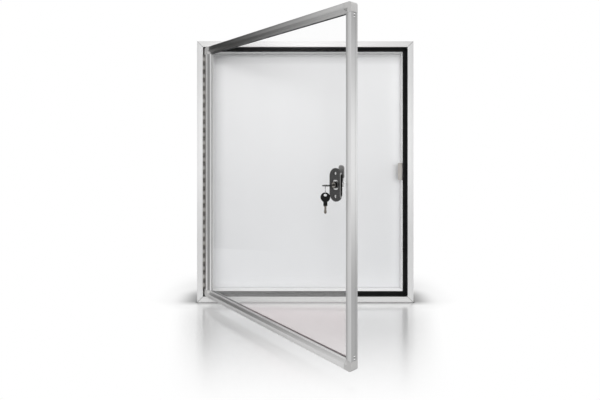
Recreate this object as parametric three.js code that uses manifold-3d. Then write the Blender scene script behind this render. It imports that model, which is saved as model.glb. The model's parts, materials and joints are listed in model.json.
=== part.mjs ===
// Lockable notice board: a mitred aluminium case with a glazed door on a piano hinge and a cam lock.
// Millimetres, +Z up, the front faces -Y. The origin is the middle of the top rail's wall face.
// The door stands open, with the key in its lock and a spare key on the ring.

import * as THREE from "three";
import { mergeVertices } from "three/addons/utils/BufferGeometryUtils.js";
import Module from "manifold-3d";

const wasm = await Module();
wasm.setup();

// Case
const CASE_WIDTH = 650;
const CASE_HEIGHT = 785;
const CASE_DEPTH = 60;
const CASE_WALL = 1.5;
const CASE_EDGE_RADIUS = 0.8;
const LIP_WIDTH = 17.5;
const REBATE_DEPTH = 21;
const FLOOR_WIDTH = 11;
const PANEL_THICKNESS = 1.2;
const PANEL_HOLD = 6;
const PANEL_CORNER_RADIUS = 3;
const MITRE_GAP = 0.3;
const SEAT_GAP = 0.3;

// Corner keys inside the case rails
const CORNER_KEY_ARM = 46;
const CORNER_KEY_DEPTH = 24;
const CORNER_KEY_NOSE = 3;

// Rubber seal in the door rebate
const SEAL_LINING = 0.8;
const SEAL_CORNER_RADIUS = 7.5;
const SEAL_RIDGE_WIDTH = 2.4;
const SEAL_RIDGE_HEIGHT = 0.5;
const SEAL_LIP_GAP = 0.5;

// Door
const DOOR_THICKNESS = 18.5;
const DOOR_OPEN_ANGLE = THREE.MathUtils.degToRad(50.4);
const DOOR_FREE_GAP = 1.9;
const DOOR_EDGE_GAP = 2.5;
const DOOR_WALL = 1.4;
const DOOR_EDGE_RADIUS = 0.6;
const PROFILE_WIDTH = 21;
const PROFILE_FLAT = 11;
const PROFILE_BEVEL = 6;
const BEAD_THICKNESS = 1.2;
const BACK_FLANGE_THICKNESS = 1.4;
const GROOVE_DEPTH = 0.5;
const GROOVE_WIDTH = 1.2;
const GROOVE_FROM_FRONT = 11.4;

// Corner blocks of the door
const BLOCK_CORNER_RADIUS = 7;
const BLOCK_GAP = 0.3;
const TONGUE_LENGTH = 18;
const TONGUE_WIDTH = 8;

// Glazing
const GLASS_THICKNESS = 4;
const GLASS_HOLD = 5.4;
const GLASS_GAP = 0.2;
const GLAZING_SEAL_WALL = 0.6;
const GLAZING_SEAL_SHOW = 0.4;

// Piano hinge
const BARREL_RADIUS = 3.75;
const LEAF_THICKNESS = 1;
const LEAF_WIDTH = 18;
const LEAF_START = 3.2;
const PIN_FORWARD = 2.5;
const PIN_GAP = 0.3;
const HINGE_END_MARGIN = 22.5;
const KNUCKLE_PAIRS = 14;
const KNUCKLE_GAP = 0.4;
const CURL_END_ANGLE = THREE.MathUtils.degToRad(125);

// Countersunk screws of the hinge, the corner blocks and the strike
const SCREW_HEAD_RADIUS = 2.4;
const SCREW_SHANK_RADIUS = 1.45;
const SCREW_LENGTH = 9;
const SCREW_GAP = 0.2;
const CASE_LEAF_SCREW_FROM_END = 50;
const CASE_LEAF_SCREWS = 5;
const DOOR_LEAF_SCREW_FROM_END = 125;
const DOOR_LEAF_SCREWS = 3;
const LEAF_SCREW_FROM_PIN = 11.75;
const CORNER_SCREW_FROM_END = 25;
const CORNER_SCREW_PITCH = 6;

// Strike on the right wall
const STRIKE_HEIGHT = 52;
const STRIKE_REACH = 14;
const STRIKE_THICKNESS = 1.4;
const STRIKE_BEND_RADIUS = 2;
const STRIKE_CORNER_RADIUS = 3;
const STRIKE_BASE_DEPTH = 26;
const STRIKE_SCREW_FROM_END = 7;
const STRIKE_SCREW_FROM_FLANGE = 16;
const STRIKE_WINDOW_HEIGHT = 24;
const STRIKE_WINDOW_DEPTH = 5;

// Lock plates on both sides of the glass
const LOCK_INSET = 50.75;
const PLATE_LENGTH = 70;
const PLATE_WIDTH = 35;
const PLATE_THICKNESS = 4.6;
const PLATE_CHAMFER = 1.2;
const RECESS_RADIUS = 11;
const RECESS_DEPTH = 3.2;
const RECESS_CHAMFER = 1;
const REAR_BAR_LENGTH = 62;
const REAR_BAR_WIDTH = 10;
const REAR_EYE_RADIUS = 11.5;
const REAR_PLATE_THICKNESS = 2;
const GLASS_BORE_RADIUS = 9.5;
const GLASS_SCREW_BORE_RADIUS = 3;

// Screws of the lock plate
const LOCK_SCREW_SPACING = 48;
const LOCK_SCREW_HEAD_RADIUS = 3.75;
const LOCK_SCREW_HEAD_THICKNESS = 2.4;
const LOCK_SCREW_DOME = 0.8;
const LOCK_SCREW_SHANK_RADIUS = 2;
const LOCK_SCREW_SUNK = 0.6;
const LOCK_SCREW_RECESS_WIDTH = 1;
const LOCK_SCREW_RECESS_SPAN = 4;
const LOCK_SCREW_RECESS_DEPTH = 1.3;
const COUNTERBORE_GAP = 0.5;

// Lock cylinder
const HOUSING_RADIUS = 7.5;
const HOUSING_PROUD = 4.5;
const HOUSING_FLANGE_RADIUS = 10.5;
const HOUSING_FLANGE_THICKNESS = 1.2;
const HOUSING_TAIL = 5.5;
const HOUSING_EDGE = 0.8;
const PLUG_RADIUS = 5;
const PLUG_HEAD_RADIUS = 6;
const PLUG_HEAD_THICKNESS = 1.3;
const KEYWAY_GAP = 0.35;
const KEYWAY_END_GAP = 1.5;
const CIRCLIP_THICKNESS = 1;
const CIRCLIP_GRIP = 0.9;
const CIRCLIP_WIDTH = 2.4;
const CIRCLIP_OPENING = 5;
const STUB_RADIUS = 3;
const STUB_FLAT = 2.2;
const STUB_END = 0.6;

// Cam and its nut
const CAM_THICKNESS = 2.5;
const CAM_REACH = 40.6;
const CAM_ARM_HALF_WIDTH = 5.5;
const CAM_HEAD_START = 13;
const CAM_HEAD_FLARE = 2.5;
const CAM_HEAD_RIGHT = 8.5;
const CAM_HEAD_LEFT = 6.5;
const CAM_HEAD_RADIUS = 6.8;
const CAM_HOOK_FLOOR = 25.5;
const CAM_HOOK_HEIGHT = 4.5;
const CAM_HOOK_DEPTH = 5;
const CAM_FILLET = 0.9;
const CAM_FOOT_RADIUS = 2;
const NUT_ACROSS_CORNERS = 11.5;
const NUT_THICKNESS = 3.5;

// Keys
const KEY_HEAD_RADIUS = 10.15;
const KEY_HEAD_THICKNESS = 2.3;
const KEY_HEAD_ROUNDING = 0.4;
const KEY_NECK_LENGTH = 7.5;
const KEY_NECK_WIDTH = 8.6;
const KEY_HOLE_WIDTH = 6.6;
const KEY_HOLE_HEIGHT = 5.2;
const KEY_HOLE_FROM_END = 5.9;
const KEY_BLADE_LENGTH = 16;
const KEY_BLADE_HALF_WIDTH = 2.7;
const KEY_BLADE_THICKNESS = 1.6;
const KEY_TIP = 2.2;
const KEY_TIP_HALF_WIDTH = 1.1;
const KEY_CUT_DEPTH = 1;
const KEY_TANG_LENGTH = 6;
const KEY_TANG_HALF_WIDTH = 2.2;
const KEY_TANG_THICKNESS = 0.8;
const KEY_TANG_GAP = 0.25;

// Split ring
const RING_RADIUS = 9.55;
const RING_WIRE_RADIUS = 0.45;
const RING_PITCH = 1;
const RING_DROP = 7.55;
const RING_TURN = THREE.MathUtils.degToRad(46);
const RING_JOG = THREE.MathUtils.degToRad(12);
const RING_END_GAP = THREE.MathUtils.degToRad(4);
const SPARE_HANG_GAP = 0.4;

// Cutters run past the faces that they cut by this much
const OVERRUN = 2;

// Facets
const FINE_ARC = 4;
const EDGE_ARC = 1;
const ROUND_FACETS = 28;
const SCREW_FACETS = 10;
const WIRE_FACETS = 8;
const RING_STEPS = 60;

// Shares of the blade's cut length at which the key's notches open and bottom out
const NOTCH_SHARES = [0.1, 0.24, 0.4, 0.5, 0.66, 0.82];
const NOTCH_DEPTH_SHARES = [0, 0.9, 0.25, 1, 0.3, 0];

// Places that follow from the sizes above
const HALF_WIDTH = CASE_WIDTH / 2;
const HALF_HEIGHT = CASE_HEIGHT / 2;
const RAIL_WIDTH = LIP_WIDTH + FLOOR_WIDTH;
const WALL_PLANE_Z = HALF_HEIGHT - RAIL_WIDTH / 2;
const PANEL_GROOVE_BACK = CASE_DEPTH - CASE_WALL;
const PANEL_GROOVE_FRONT = PANEL_GROOVE_BACK - PANEL_THICKNESS - 2 * SEAT_GAP;
const PIN_TO_WALL = BARREL_RADIUS + SEAT_GAP;
const PIN_X = -HALF_WIDTH + LIP_WIDTH + PIN_TO_WALL;
const PIN_Y = -CASE_DEPTH - PIN_FORWARD;
const DOOR_WIDTH = CASE_WIDTH - 2 * LIP_WIDTH - 2 * PIN_TO_WALL - DOOR_FREE_GAP;
const DOOR_HEIGHT = CASE_HEIGHT - 2 * LIP_WIDTH - 2 * DOOR_EDGE_GAP;
const DOOR_HALF_WIDTH = DOOR_WIDTH / 2;
const DOOR_HALF_HEIGHT = DOOR_HEIGHT / 2;
const BLOCK_OVERHANG = 2 * PIN_TO_WALL - DOOR_EDGE_GAP;
const CORNER_SCREW_DEPTH = LEAF_SCREW_FROM_PIN - PIN_FORWARD;
const BEAD_FRONT = PROFILE_BEVEL;
const CHANNEL_FRONT = BEAD_FRONT + BEAD_THICKNESS;
const GLAZING_SEAL_FRONT = CHANNEL_FRONT + GLASS_GAP;
const GLASS_FRONT = GLAZING_SEAL_FRONT + GLAZING_SEAL_WALL + GLASS_GAP;
const GLASS_BACK = GLASS_FRONT + GLASS_THICKNESS;
const GLAZING_SEAL_BACK = GLASS_BACK + GLASS_GAP + GLAZING_SEAL_WALL;
const CHANNEL_BACK = GLAZING_SEAL_BACK + GLASS_GAP;
const GLASS_EDGE = PROFILE_WIDTH - GLASS_HOLD;
const GLAZING_SEAL_EDGE = GLASS_EDGE - GLASS_GAP - GLAZING_SEAL_WALL;
const CHANNEL_FLOOR = GLAZING_SEAL_EDGE - SEAT_GAP;
const HINGE_LENGTH = DOOR_HEIGHT - 2 * HINGE_END_MARGIN;
const KNUCKLE_PITCH = HINGE_LENGTH / (2 * KNUCKLE_PAIRS);
const SEAL_TOP = DOOR_THICKNESS + SEAT_GAP;
const SEAL_BACK = REBATE_DEPTH - SEAT_GAP;
const PLATE_BACK = GLASS_FRONT - SEAT_GAP;
const PLATE_FRONT = PLATE_BACK - PLATE_THICKNESS;
const REAR_PLATE_FRONT = GLASS_BACK + SEAT_GAP;
const REAR_PLATE_BACK = REAR_PLATE_FRONT + REAR_PLATE_THICKNESS;
const HOUSING_FRONT = PLATE_FRONT - HOUSING_PROUD;
const HOUSING_BACK = REAR_PLATE_BACK + HOUSING_TAIL;
const CAM_FRONT = HOUSING_BACK + 2 * SEAT_GAP;
const CAM_BACK = CAM_FRONT + CAM_THICKNESS;
const NUT_FRONT = CAM_BACK + SEAT_GAP;
const STUB_BACK = NUT_FRONT + NUT_THICKNESS + STUB_END;
const KEY_NECK_END = 2 * KEY_HEAD_RADIUS + KEY_NECK_LENGTH;
const KEY_LENGTH = KEY_NECK_END + KEY_BLADE_LENGTH;
const KEY_END_Y = HOUSING_FRONT - SEAT_GAP - KEY_NECK_END;
const STRIKE_FLANGE_BACK = CAM_FRONT - SEAT_GAP;

// Materials
const FINISHES = {
  case_silver: { color: 0xd2d3d2, roughness: 0.45, metalness: 0.9 },
  door_silver: { color: 0xb9b9ba, roughness: 0.38, metalness: 0.9 },
  white_panel: { color: 0xf1f2f3, roughness: 0.35, metalness: 0.05 },
  black_rubber: { color: 0x1c1c1d, roughness: 0.8, metalness: 0 },
  grey_plastic: { color: 0xb2b1ac, roughness: 0.55, metalness: 0 },
  hinge_steel: { color: 0x8b8984, roughness: 0.4, metalness: 0.9 },
  zinc: { color: 0x9a9a98, roughness: 0.4, metalness: 0.8 },
  screw_steel: { color: 0xc4c4c2, roughness: 0.25, metalness: 1 },
  strike_steel: { color: 0xb4ada6, roughness: 0.5, metalness: 0.7 },
  glass: { color: 0xeef3f2, roughness: 0.03, metalness: 0, transparent: true, opacity: 0.25 },
  lock_black: { color: 0x3b3b3d, roughness: 0.45, metalness: 0.3 },
  cam_grey: { color: 0x6d6e6c, roughness: 0.4, metalness: 0.8 },
  nickel: { color: 0xc9c8c3, roughness: 0.25, metalness: 1 },
  key_black: { color: 0x151412, roughness: 0.3, metalness: 0 },
  key_brown: { color: 0x4a3f36, roughness: 0.4, metalness: 0.8 },
};

// Booleans: a closed geometry becomes a solid, and comes back as flat-shaded triangles.
function solidOf(geometry) {
  const bare = geometry.clone();
  bare.deleteAttribute("normal");
  bare.deleteAttribute("uv");
  const merged = mergeVertices(bare);
  const corners = merged.index.array;
  const kept = [];
  for (let i = 0; i < corners.length; i += 3) {
    const [a, b, c] = corners.subarray(i, i + 3);
    if (a !== b && b !== c && c !== a) {
      kept.push(a, b, c);
    }
  }
  const vertProperties = new Float32Array(merged.attributes.position.array);
  const mesh = new wasm.Mesh({ numProp: 3, vertProperties, triVerts: new Uint32Array(kept) });
  return new wasm.Manifold(mesh);
}

function geometryOf(solid) {
  const mesh = solid.getMesh();
  const indexed = new THREE.BufferGeometry();
  indexed.setAttribute("position", new THREE.BufferAttribute(new Float32Array(mesh.vertProperties), 3));
  indexed.setIndex(new THREE.BufferAttribute(new Uint32Array(mesh.triVerts), 1));
  const flat = indexed.toNonIndexed();
  flat.computeVertexNormals();
  return flat;
}

function cut(geometry, ...cutters) {
  return geometryOf(cutters.reduce((left, cutter) => left.subtract(solidOf(cutter)), solidOf(geometry)));
}

function join(geometry, ...additions) {
  return geometryOf(additions.reduce((whole, piece) => whole.add(solidOf(piece)), solidOf(geometry)));
}

function common(geometry, other) {
  return geometryOf(solidOf(geometry).intersect(solidOf(other)));
}

// A closed outline through corner points [x, y, radius], each corner rounded by its radius.
function outline(corners, Kind = THREE.Shape) {
  const path = new Kind();
  corners.forEach(([x, y, radius = 0], i) => {
    const here = new THREE.Vector2(x, y);
    if (radius === 0) {
      if (i === 0) {
        path.moveTo(x, y);
      } else {
        path.lineTo(x, y);
      }
      return;
    }
    const [beforeX, beforeY] = corners.at(i - 1);
    const [afterX, afterY] = corners[(i + 1) % corners.length];
    const back = new THREE.Vector2(beforeX, beforeY).sub(here).normalize();
    const onward = new THREE.Vector2(afterX, afterY).sub(here).normalize();
    const half = Math.acos(back.dot(onward)) / 2;
    const middle = back.clone().add(onward).normalize();
    const centre = here.clone().addScaledVector(middle, radius / Math.sin(half));
    const start = here.clone().addScaledVector(back, radius / Math.tan(half));
    const end = here.clone().addScaledVector(onward, radius / Math.tan(half));
    const startAngle = Math.atan2(start.y - centre.y, start.x - centre.x);
    const endAngle = Math.atan2(end.y - centre.y, end.x - centre.x);
    path.absarc(centre.x, centre.y, radius, startAngle, endAngle, back.cross(onward) > 0);
  });
  path.closePath();
  return path;
}

function rectangle(width, height, radius = 0, Kind = THREE.Shape) {
  const x = width / 2;
  const y = height / 2;
  const corners = [[-x, -y, radius], [x, -y, radius], [x, y, radius], [-x, y, radius]];
  return outline(corners, Kind);
}

function disc(radius, x = 0, y = 0, Kind = THREE.Shape) {
  const path = new Kind();
  path.absarc(x, y, radius, 0, 2 * Math.PI, false);
  return path;
}

function extrude(shape, depth, curveSegments = FINE_ARC) {
  return new THREE.ExtrudeGeometry(shape, { depth, curveSegments, bevelEnabled: false });
}

// A flat piece whose outline is drawn in X and Z, lying between two depths.
function slab(shape, front, back, curveSegments = FINE_ARC) {
  return extrude(shape, back - front, curveSegments).rotateX(Math.PI / 2).translate(0, back, 0);
}

function box(x0, x1, y0, y1, z0, z1) {
  const middle = [(x0 + x1) / 2, (y0 + y1) / 2, (z0 + z1) / 2];
  return new THREE.BoxGeometry(x1 - x0, y1 - y0, z1 - z0).translate(...middle);
}

// A turned piece about the Y axis, from [radius, y] points that start and end on the axis.
function turned(points, facets = ROUND_FACETS) {
  return new THREE.LatheGeometry(points.map(([radius, y]) => new THREE.Vector2(radius, y)), facets);
}

function bar(radius, y0, y1, facets = ROUND_FACETS) {
  return turned([[0, y0], [radius, y0], [radius, y1], [0, y1]], facets);
}

function piece(name, geometry, finish) {
  const mesh = new THREE.Mesh(geometry, new THREE.MeshStandardMaterial(FINISHES[finish]));
  mesh.name = name;
  return mesh;
}

// Puts a rail drawn along +Z, with its outer face at X zero, on one side of a frame.
function onSide(mesh, side, halfWidth, halfHeight) {
  const quarter = Math.PI / 2;
  const places = {
    left: [0, -halfWidth, -halfHeight],
    top: [quarter, -halfWidth, halfHeight],
    right: [2 * quarter, halfWidth, halfHeight],
    bottom: [-quarter, halfWidth, -halfHeight],
  };
  const [turn, x, z] = places[side];
  mesh.rotation.y = turn;
  mesh.position.x = x;
  mesh.position.z = z;
  return mesh;
}

const SIDES = ["left", "top", "right", "bottom"];
const DOOR_RAIL_NAMES = {
  left: "door_rail_hinge_side",
  top: "door_rail_top",
  right: "door_rail_lock_side",
  bottom: "door_rail_bottom",
};

// Case rail: a hollow section with the front lip, the door rebate and the panel groove.
function caseSection() {
  const section = outline([
    [0, 0, CASE_EDGE_RADIUS],
    [LIP_WIDTH, 0, CASE_EDGE_RADIUS],
    [LIP_WIDTH, REBATE_DEPTH],
    [RAIL_WIDTH, REBATE_DEPTH, CASE_EDGE_RADIUS],
    [RAIL_WIDTH, PANEL_GROOVE_FRONT],
    [RAIL_WIDTH - PANEL_HOLD, PANEL_GROOVE_FRONT],
    [RAIL_WIDTH - PANEL_HOLD, PANEL_GROOVE_BACK],
    [RAIL_WIDTH, PANEL_GROOVE_BACK],
    [RAIL_WIDTH, CASE_DEPTH],
    [0, CASE_DEPTH, CASE_EDGE_RADIUS],
  ]);
  const outerChamber = [
    [CASE_WALL, CASE_WALL],
    [LIP_WIDTH - CASE_WALL, CASE_WALL],
    [LIP_WIDTH - CASE_WALL, CASE_DEPTH - CASE_WALL],
    [CASE_WALL, CASE_DEPTH - CASE_WALL],
  ];
  const innerChamber = [
    [LIP_WIDTH, REBATE_DEPTH + CASE_WALL],
    [RAIL_WIDTH - CASE_WALL, REBATE_DEPTH + CASE_WALL],
    [RAIL_WIDTH - CASE_WALL, PANEL_GROOVE_FRONT - CASE_WALL],
    [LIP_WIDTH, PANEL_GROOVE_FRONT - CASE_WALL],
  ];
  section.holes.push(outline(outerChamber, THREE.Path), outline(innerChamber, THREE.Path));
  return section;
}

// Both ends of a rail are cut at 45 degrees, each set back by half of the mitre's gap.
function mitred(geometry, length) {
  const places = geometry.attributes.position;
  const setback = MITRE_GAP / Math.SQRT2;
  for (let i = 0; i < places.count; i++) {
    const inset = places.getX(i) + setback;
    places.setZ(i, places.getZ(i) > 0 ? length - inset : inset);
  }
  geometry.computeVertexNormals();
  return geometry;
}

function caseRail(side) {
  const upright = side === "left" || side === "right";
  const length = upright ? CASE_HEIGHT : CASE_WIDTH;
  let geometry = mitred(extrude(caseSection(), length, EDGE_ARC), length);
  if (side === "left") {
    const wall = [LIP_WIDTH - CASE_WALL - OVERRUN, LIP_WIDTH + OVERRUN];
    const depth = LEAF_SCREW_FROM_PIN - PIN_FORWARD;
    const holes = leafScrewHeights(CASE_LEAF_SCREWS, CASE_LEAF_SCREW_FROM_END)
      .map((z) => screwHole(...wall, depth, z + HALF_HEIGHT));
    geometry = cut(geometry, ...holes);
  }
  if (side === "right") {
    const wall = [RAIL_WIDTH - CASE_WALL - OVERRUN, RAIL_WIDTH + OVERRUN];
    const holes = strikeScrewHeights().map((z) => screwHole(...wall, strikeScrewDepth(), z + HALF_HEIGHT));
    geometry = cut(geometry, ...holes);
  }
  const rail = piece("case_rail_" + side, geometry, "case_silver");
  rail.position.y = -CASE_DEPTH;
  return onSide(rail, side, HALF_WIDTH, HALF_HEIGHT);
}

// A corner key: an L of cast zinc that fills the outer chambers of two rails at a corner.
function cornerKey(name, turn) {
  const near = CASE_WALL + SEAT_GAP;
  const far = LIP_WIDTH - CASE_WALL - SEAT_GAP;
  const ell = outline([
    [near, -near, CORNER_KEY_NOSE],
    [near, -CORNER_KEY_ARM, CORNER_KEY_NOSE],
    [far, -CORNER_KEY_ARM, CORNER_KEY_NOSE],
    [far, -far],
    [CORNER_KEY_ARM, -far, CORNER_KEY_NOSE],
    [CORNER_KEY_ARM, -near, CORNER_KEY_NOSE],
  ]);
  const back = PANEL_GROOVE_BACK - SEAT_GAP;
  const geometry = slab(ell, back - CORNER_KEY_DEPTH, back, EDGE_ARC);
  const key = piece(name, geometry, "zinc");
  const corner = new THREE.Group();
  key.position.set(-HALF_WIDTH, -CASE_DEPTH, HALF_HEIGHT);
  corner.add(key);
  corner.rotation.y = turn;
  return corner;
}

// The corner keys sit at the rectangle's corners, so opposite corners share one drawing.
function cornerKeys() {
  const keys = new THREE.Group();
  keys.add(cornerKey("corner_key_top_left", 0));
  keys.add(cornerKey("corner_key_bottom_right", Math.PI));
  const others = new THREE.Group();
  others.add(mirroredKey("corner_key_top_right", 0));
  others.add(mirroredKey("corner_key_bottom_left", Math.PI));
  keys.add(others);
  return keys;
}

function mirroredKey(name, turn) {
  const corner = cornerKey(name, 0);
  const key = corner.children[0];
  key.rotation.y = Math.PI / 2;
  key.position.x = HALF_WIDTH;
  corner.rotation.y = turn;
  return corner;
}

function backPanel() {
  const margin = RAIL_WIDTH - PANEL_HOLD + SEAT_GAP;
  const shape = rectangle(CASE_WIDTH - 2 * margin, CASE_HEIGHT - 2 * margin, PANEL_CORNER_RADIUS);
  const back = -CASE_DEPTH + PANEL_GROOVE_BACK - SEAT_GAP;
  return piece("back_panel", slab(shape, back - PANEL_THICKNESS, back, EDGE_ARC), "white_panel");
}

// A ring between two rectangles of one centre, given by how far each lies inside the case.
function frameRing(outerInset, innerInset, outerRadius, innerRadius) {
  const ring = rectangle(CASE_WIDTH - 2 * outerInset, CASE_HEIGHT - 2 * outerInset, outerRadius);
  const hole = rectangle(CASE_WIDTH - 2 * innerInset, CASE_HEIGHT - 2 * innerInset, innerRadius, THREE.Path);
  ring.holes.push(hole);
  return ring;
}

// The seal: a floor strip with a ridge, and a thin lining up the rebate's wall.
// The lining stops where the hinge's leaf lies on the wall.
function rebateSeal() {
  const outer = LIP_WIDTH + SEAT_GAP;
  const inner = RAIL_WIDTH - SEAT_GAP;
  const ridgeOuter = (outer + inner - SEAL_RIDGE_WIDTH) / 2;
  const floor = frameRing(outer, inner, SEAL_CORNER_RADIUS, 0);
  const wall = frameRing(outer, outer + SEAL_LINING, SEAL_CORNER_RADIUS, SEAL_CORNER_RADIUS - SEAL_LINING);
  const ridge = frameRing(ridgeOuter, ridgeOuter + SEAL_RIDGE_WIDTH, SEAL_RIDGE_WIDTH / 2, 0);
  const floorTop = SEAL_TOP + SEAL_RIDGE_HEIGHT;
  const depth = (d) => d - CASE_DEPTH;
  const strip = slab(floor, depth(floorTop), depth(SEAL_BACK));
  const lining = slab(wall, depth(SEAL_LIP_GAP), depth(SEAL_BACK));
  const bead = slab(ridge, depth(SEAL_TOP), depth(SEAL_BACK));
  const leafEnd = DOOR_HALF_HEIGHT + BLOCK_GAP;
  const clearX = PIN_X + BARREL_RADIUS;
  const leafRoom = box(-HALF_WIDTH, clearX, depth(-OVERRUN), depth(SEAL_TOP), -leafEnd, leafEnd);
  return piece("rebate_seal", cut(join(strip, lining, bead), leafRoom), "black_rubber");
}

// Countersunk screws lie along X. A screw's head faces -X, with its flat face at X zero.
function countersunkScrew(name) {
  const neck = SCREW_HEAD_RADIUS - SCREW_SHANK_RADIUS;
  const tip = SCREW_SHANK_RADIUS;
  const shank = turned([
    [0, 0],
    [SCREW_HEAD_RADIUS, 0],
    [SCREW_SHANK_RADIUS, neck],
    [SCREW_SHANK_RADIUS, SCREW_LENGTH - tip],
    [0, SCREW_LENGTH],
  ], SCREW_FACETS);
  return piece(name, shank.rotateZ(-Math.PI / 2), "screw_steel");
}

// The hole and countersink for such a screw, at a place on the surface that its head lies in.
function countersink(x, y, z, facing = 1) {
  const head = SCREW_HEAD_RADIUS + SCREW_GAP;
  const shank = SCREW_SHANK_RADIUS + SCREW_GAP;
  const hole = turned([
    [0, -OVERRUN],
    [head, -OVERRUN],
    [head, SCREW_GAP / 2],
    [shank, head - shank + SCREW_GAP / 2],
    [shank, SCREW_LENGTH + OVERRUN],
    [0, SCREW_LENGTH + OVERRUN],
  ], SCREW_FACETS);
  return hole.rotateZ(-facing * Math.PI / 2).translate(x, y, z);
}

function screwHole(x0, x1, y, z) {
  return bar(SCREW_SHANK_RADIUS + SCREW_GAP, x0, x1, SCREW_FACETS).rotateZ(-Math.PI / 2).translate(0, y, z);
}

// The heights of a leaf's screws, spread evenly between a first and a last one this far from its ends.
function leafScrewHeights(count, fromEnd) {
  const spacing = (HINGE_LENGTH - 2 * fromEnd) / (count - 1);
  return Array.from({ length: count }, (_, i) => (i - (count - 1) / 2) * spacing);
}

function strikeScrewHeights() {
  const height = STRIKE_HEIGHT / 2 - STRIKE_SCREW_FROM_END;
  return [-height, height];
}

function strikeScrewDepth() {
  return STRIKE_FLANGE_BACK + STRIKE_SCREW_FROM_FLANGE;
}

// Strike: a bent plate, with its base on the right inner wall and its flange in front of the cam.
function strike() {
  const wallX = HALF_WIDTH - RAIL_WIDTH - SEAT_GAP;
  const front = STRIKE_FLANGE_BACK - STRIKE_THICKNESS;
  const back = front + STRIKE_BASE_DEPTH;
  const section = outline([
    [wallX - STRIKE_REACH, front],
    [wallX, front, STRIKE_BEND_RADIUS],
    [wallX, back],
    [wallX - STRIKE_THICKNESS, back],
    [wallX - STRIKE_THICKNESS, STRIKE_FLANGE_BACK, STRIKE_BEND_RADIUS - STRIKE_THICKNESS],
    [wallX - STRIKE_REACH, STRIKE_FLANGE_BACK],
  ]);
  const bent = extrude(section, STRIKE_HEIGHT, FINE_ARC / 2).translate(0, -CASE_DEPTH, -STRIKE_HEIGHT / 2);
  const flangeShape = outline([
    [wallX - STRIKE_REACH, -STRIKE_HEIGHT / 2, STRIKE_CORNER_RADIUS],
    [wallX + OVERRUN, -STRIKE_HEIGHT / 2],
    [wallX + OVERRUN, STRIKE_HEIGHT / 2],
    [wallX - STRIKE_REACH, STRIKE_HEIGHT / 2, STRIKE_CORNER_RADIUS],
  ]);
  const trim = slab(flangeShape, -CASE_DEPTH, 0, FINE_ARC / 2);
  const seats = strikeScrewHeights()
    .map((z) => countersink(wallX - STRIKE_THICKNESS, strikeScrewDepth() - CASE_DEPTH, z));
  const windowFront = STRIKE_FLANGE_BACK - CASE_DEPTH;
  const windowHalf = STRIKE_WINDOW_HEIGHT / 2;
  const camWindow = box(
    wallX - STRIKE_THICKNESS - OVERRUN, wallX + OVERRUN,
    windowFront, windowFront + STRIKE_WINDOW_DEPTH, -windowHalf, windowHalf,
  );
  const group = new THREE.Group();
  group.add(piece("strike", cut(common(bent, trim), camWindow, ...seats), "strike_steel"));
  ["lower", "upper"].forEach((word, i) => {
    const screw = countersunkScrew("strike_screw_" + word);
    screw.position.set(wallX - STRIKE_THICKNESS, strikeScrewDepth() - CASE_DEPTH, strikeScrewHeights()[i]);
    group.add(screw);
  });
  return group;
}

// One rolled knuckle in the hinge's own frame: the strip leaves the leaf and curls round the pin.
// The leaf lies at negative X here, and runs back from the barrel along +Y.
function knuckleSection() {
  const inner = BARREL_RADIUS - LEAF_THICKNESS;
  const shape = new THREE.Shape();
  shape.moveTo(-BARREL_RADIUS, LEAF_START + LEAF_THICKNESS);
  shape.lineTo(-BARREL_RADIUS, 0);
  shape.absarc(0, 0, BARREL_RADIUS, Math.PI, 2 * Math.PI + CURL_END_ANGLE, false);
  shape.lineTo(inner * Math.cos(CURL_END_ANGLE), inner * Math.sin(CURL_END_ANGLE));
  shape.absarc(0, 0, inner, 2 * Math.PI + CURL_END_ANGLE, Math.PI, true);
  shape.lineTo(-inner, LEAF_START + LEAF_THICKNESS);
  shape.closePath();
  return shape;
}

// A leaf with every second knuckle, starting at the first or the second place from the bottom.
// Its plate reaches this far above and below its middle.
function leafGeometry(first, plateHalf) {
  const inner = BARREL_RADIUS - LEAF_THICKNESS;
  const half = HINGE_LENGTH / 2;
  const plate = box(-BARREL_RADIUS, -inner, LEAF_START, LEAF_WIDTH, -plateHalf, plateHalf);
  const knuckle = extrude(knuckleSection(), KNUCKLE_PITCH - KNUCKLE_GAP, FINE_ARC + 1);
  const knuckles = Array.from({ length: KNUCKLE_PAIRS }, (_, i) => {
    const bottom = -half + (2 * i + first) * KNUCKLE_PITCH + KNUCKLE_GAP / 2;
    return knuckle.clone().translate(0, 0, bottom);
  });
  return join(plate, ...knuckles);
}

function caseLeaf() {
  const face = BARREL_RADIUS - LEAF_THICKNESS;
  const heights = leafScrewHeights(CASE_LEAF_SCREWS, CASE_LEAF_SCREW_FROM_END);
  const seats = heights.map((z) => countersink(-face, LEAF_SCREW_FROM_PIN, z, -1));
  const group = new THREE.Group();
  group.add(piece("hinge_leaf_case", cut(leafGeometry(0, DOOR_HALF_HEIGHT), ...seats), "hinge_steel"));
  heights.forEach((z, i) => {
    const screw = countersunkScrew("hinge_case_screw_" + (i + 1));
    screw.rotation.y = Math.PI;
    screw.position.set(-face, LEAF_SCREW_FROM_PIN, z);
    group.add(screw);
  });
  const pinRadius = BARREL_RADIUS - LEAF_THICKNESS - PIN_GAP;
  const pin = bar(pinRadius, -HINGE_LENGTH / 2, HINGE_LENGTH / 2).rotateX(Math.PI / 2);
  group.add(piece("hinge_pin", pin, "hinge_steel"));
  group.position.set(PIN_X, PIN_Y, 0);
  return group;
}

// The heights of the eight screws that hold the door's uprights to the corner blocks.
function cornerScrewHeights() {
  const low = DOOR_HALF_HEIGHT - CORNER_SCREW_FROM_END;
  return { top: [low, low - CORNER_SCREW_PITCH], bottom: [-low, CORNER_SCREW_PITCH - low] };
}

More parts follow.
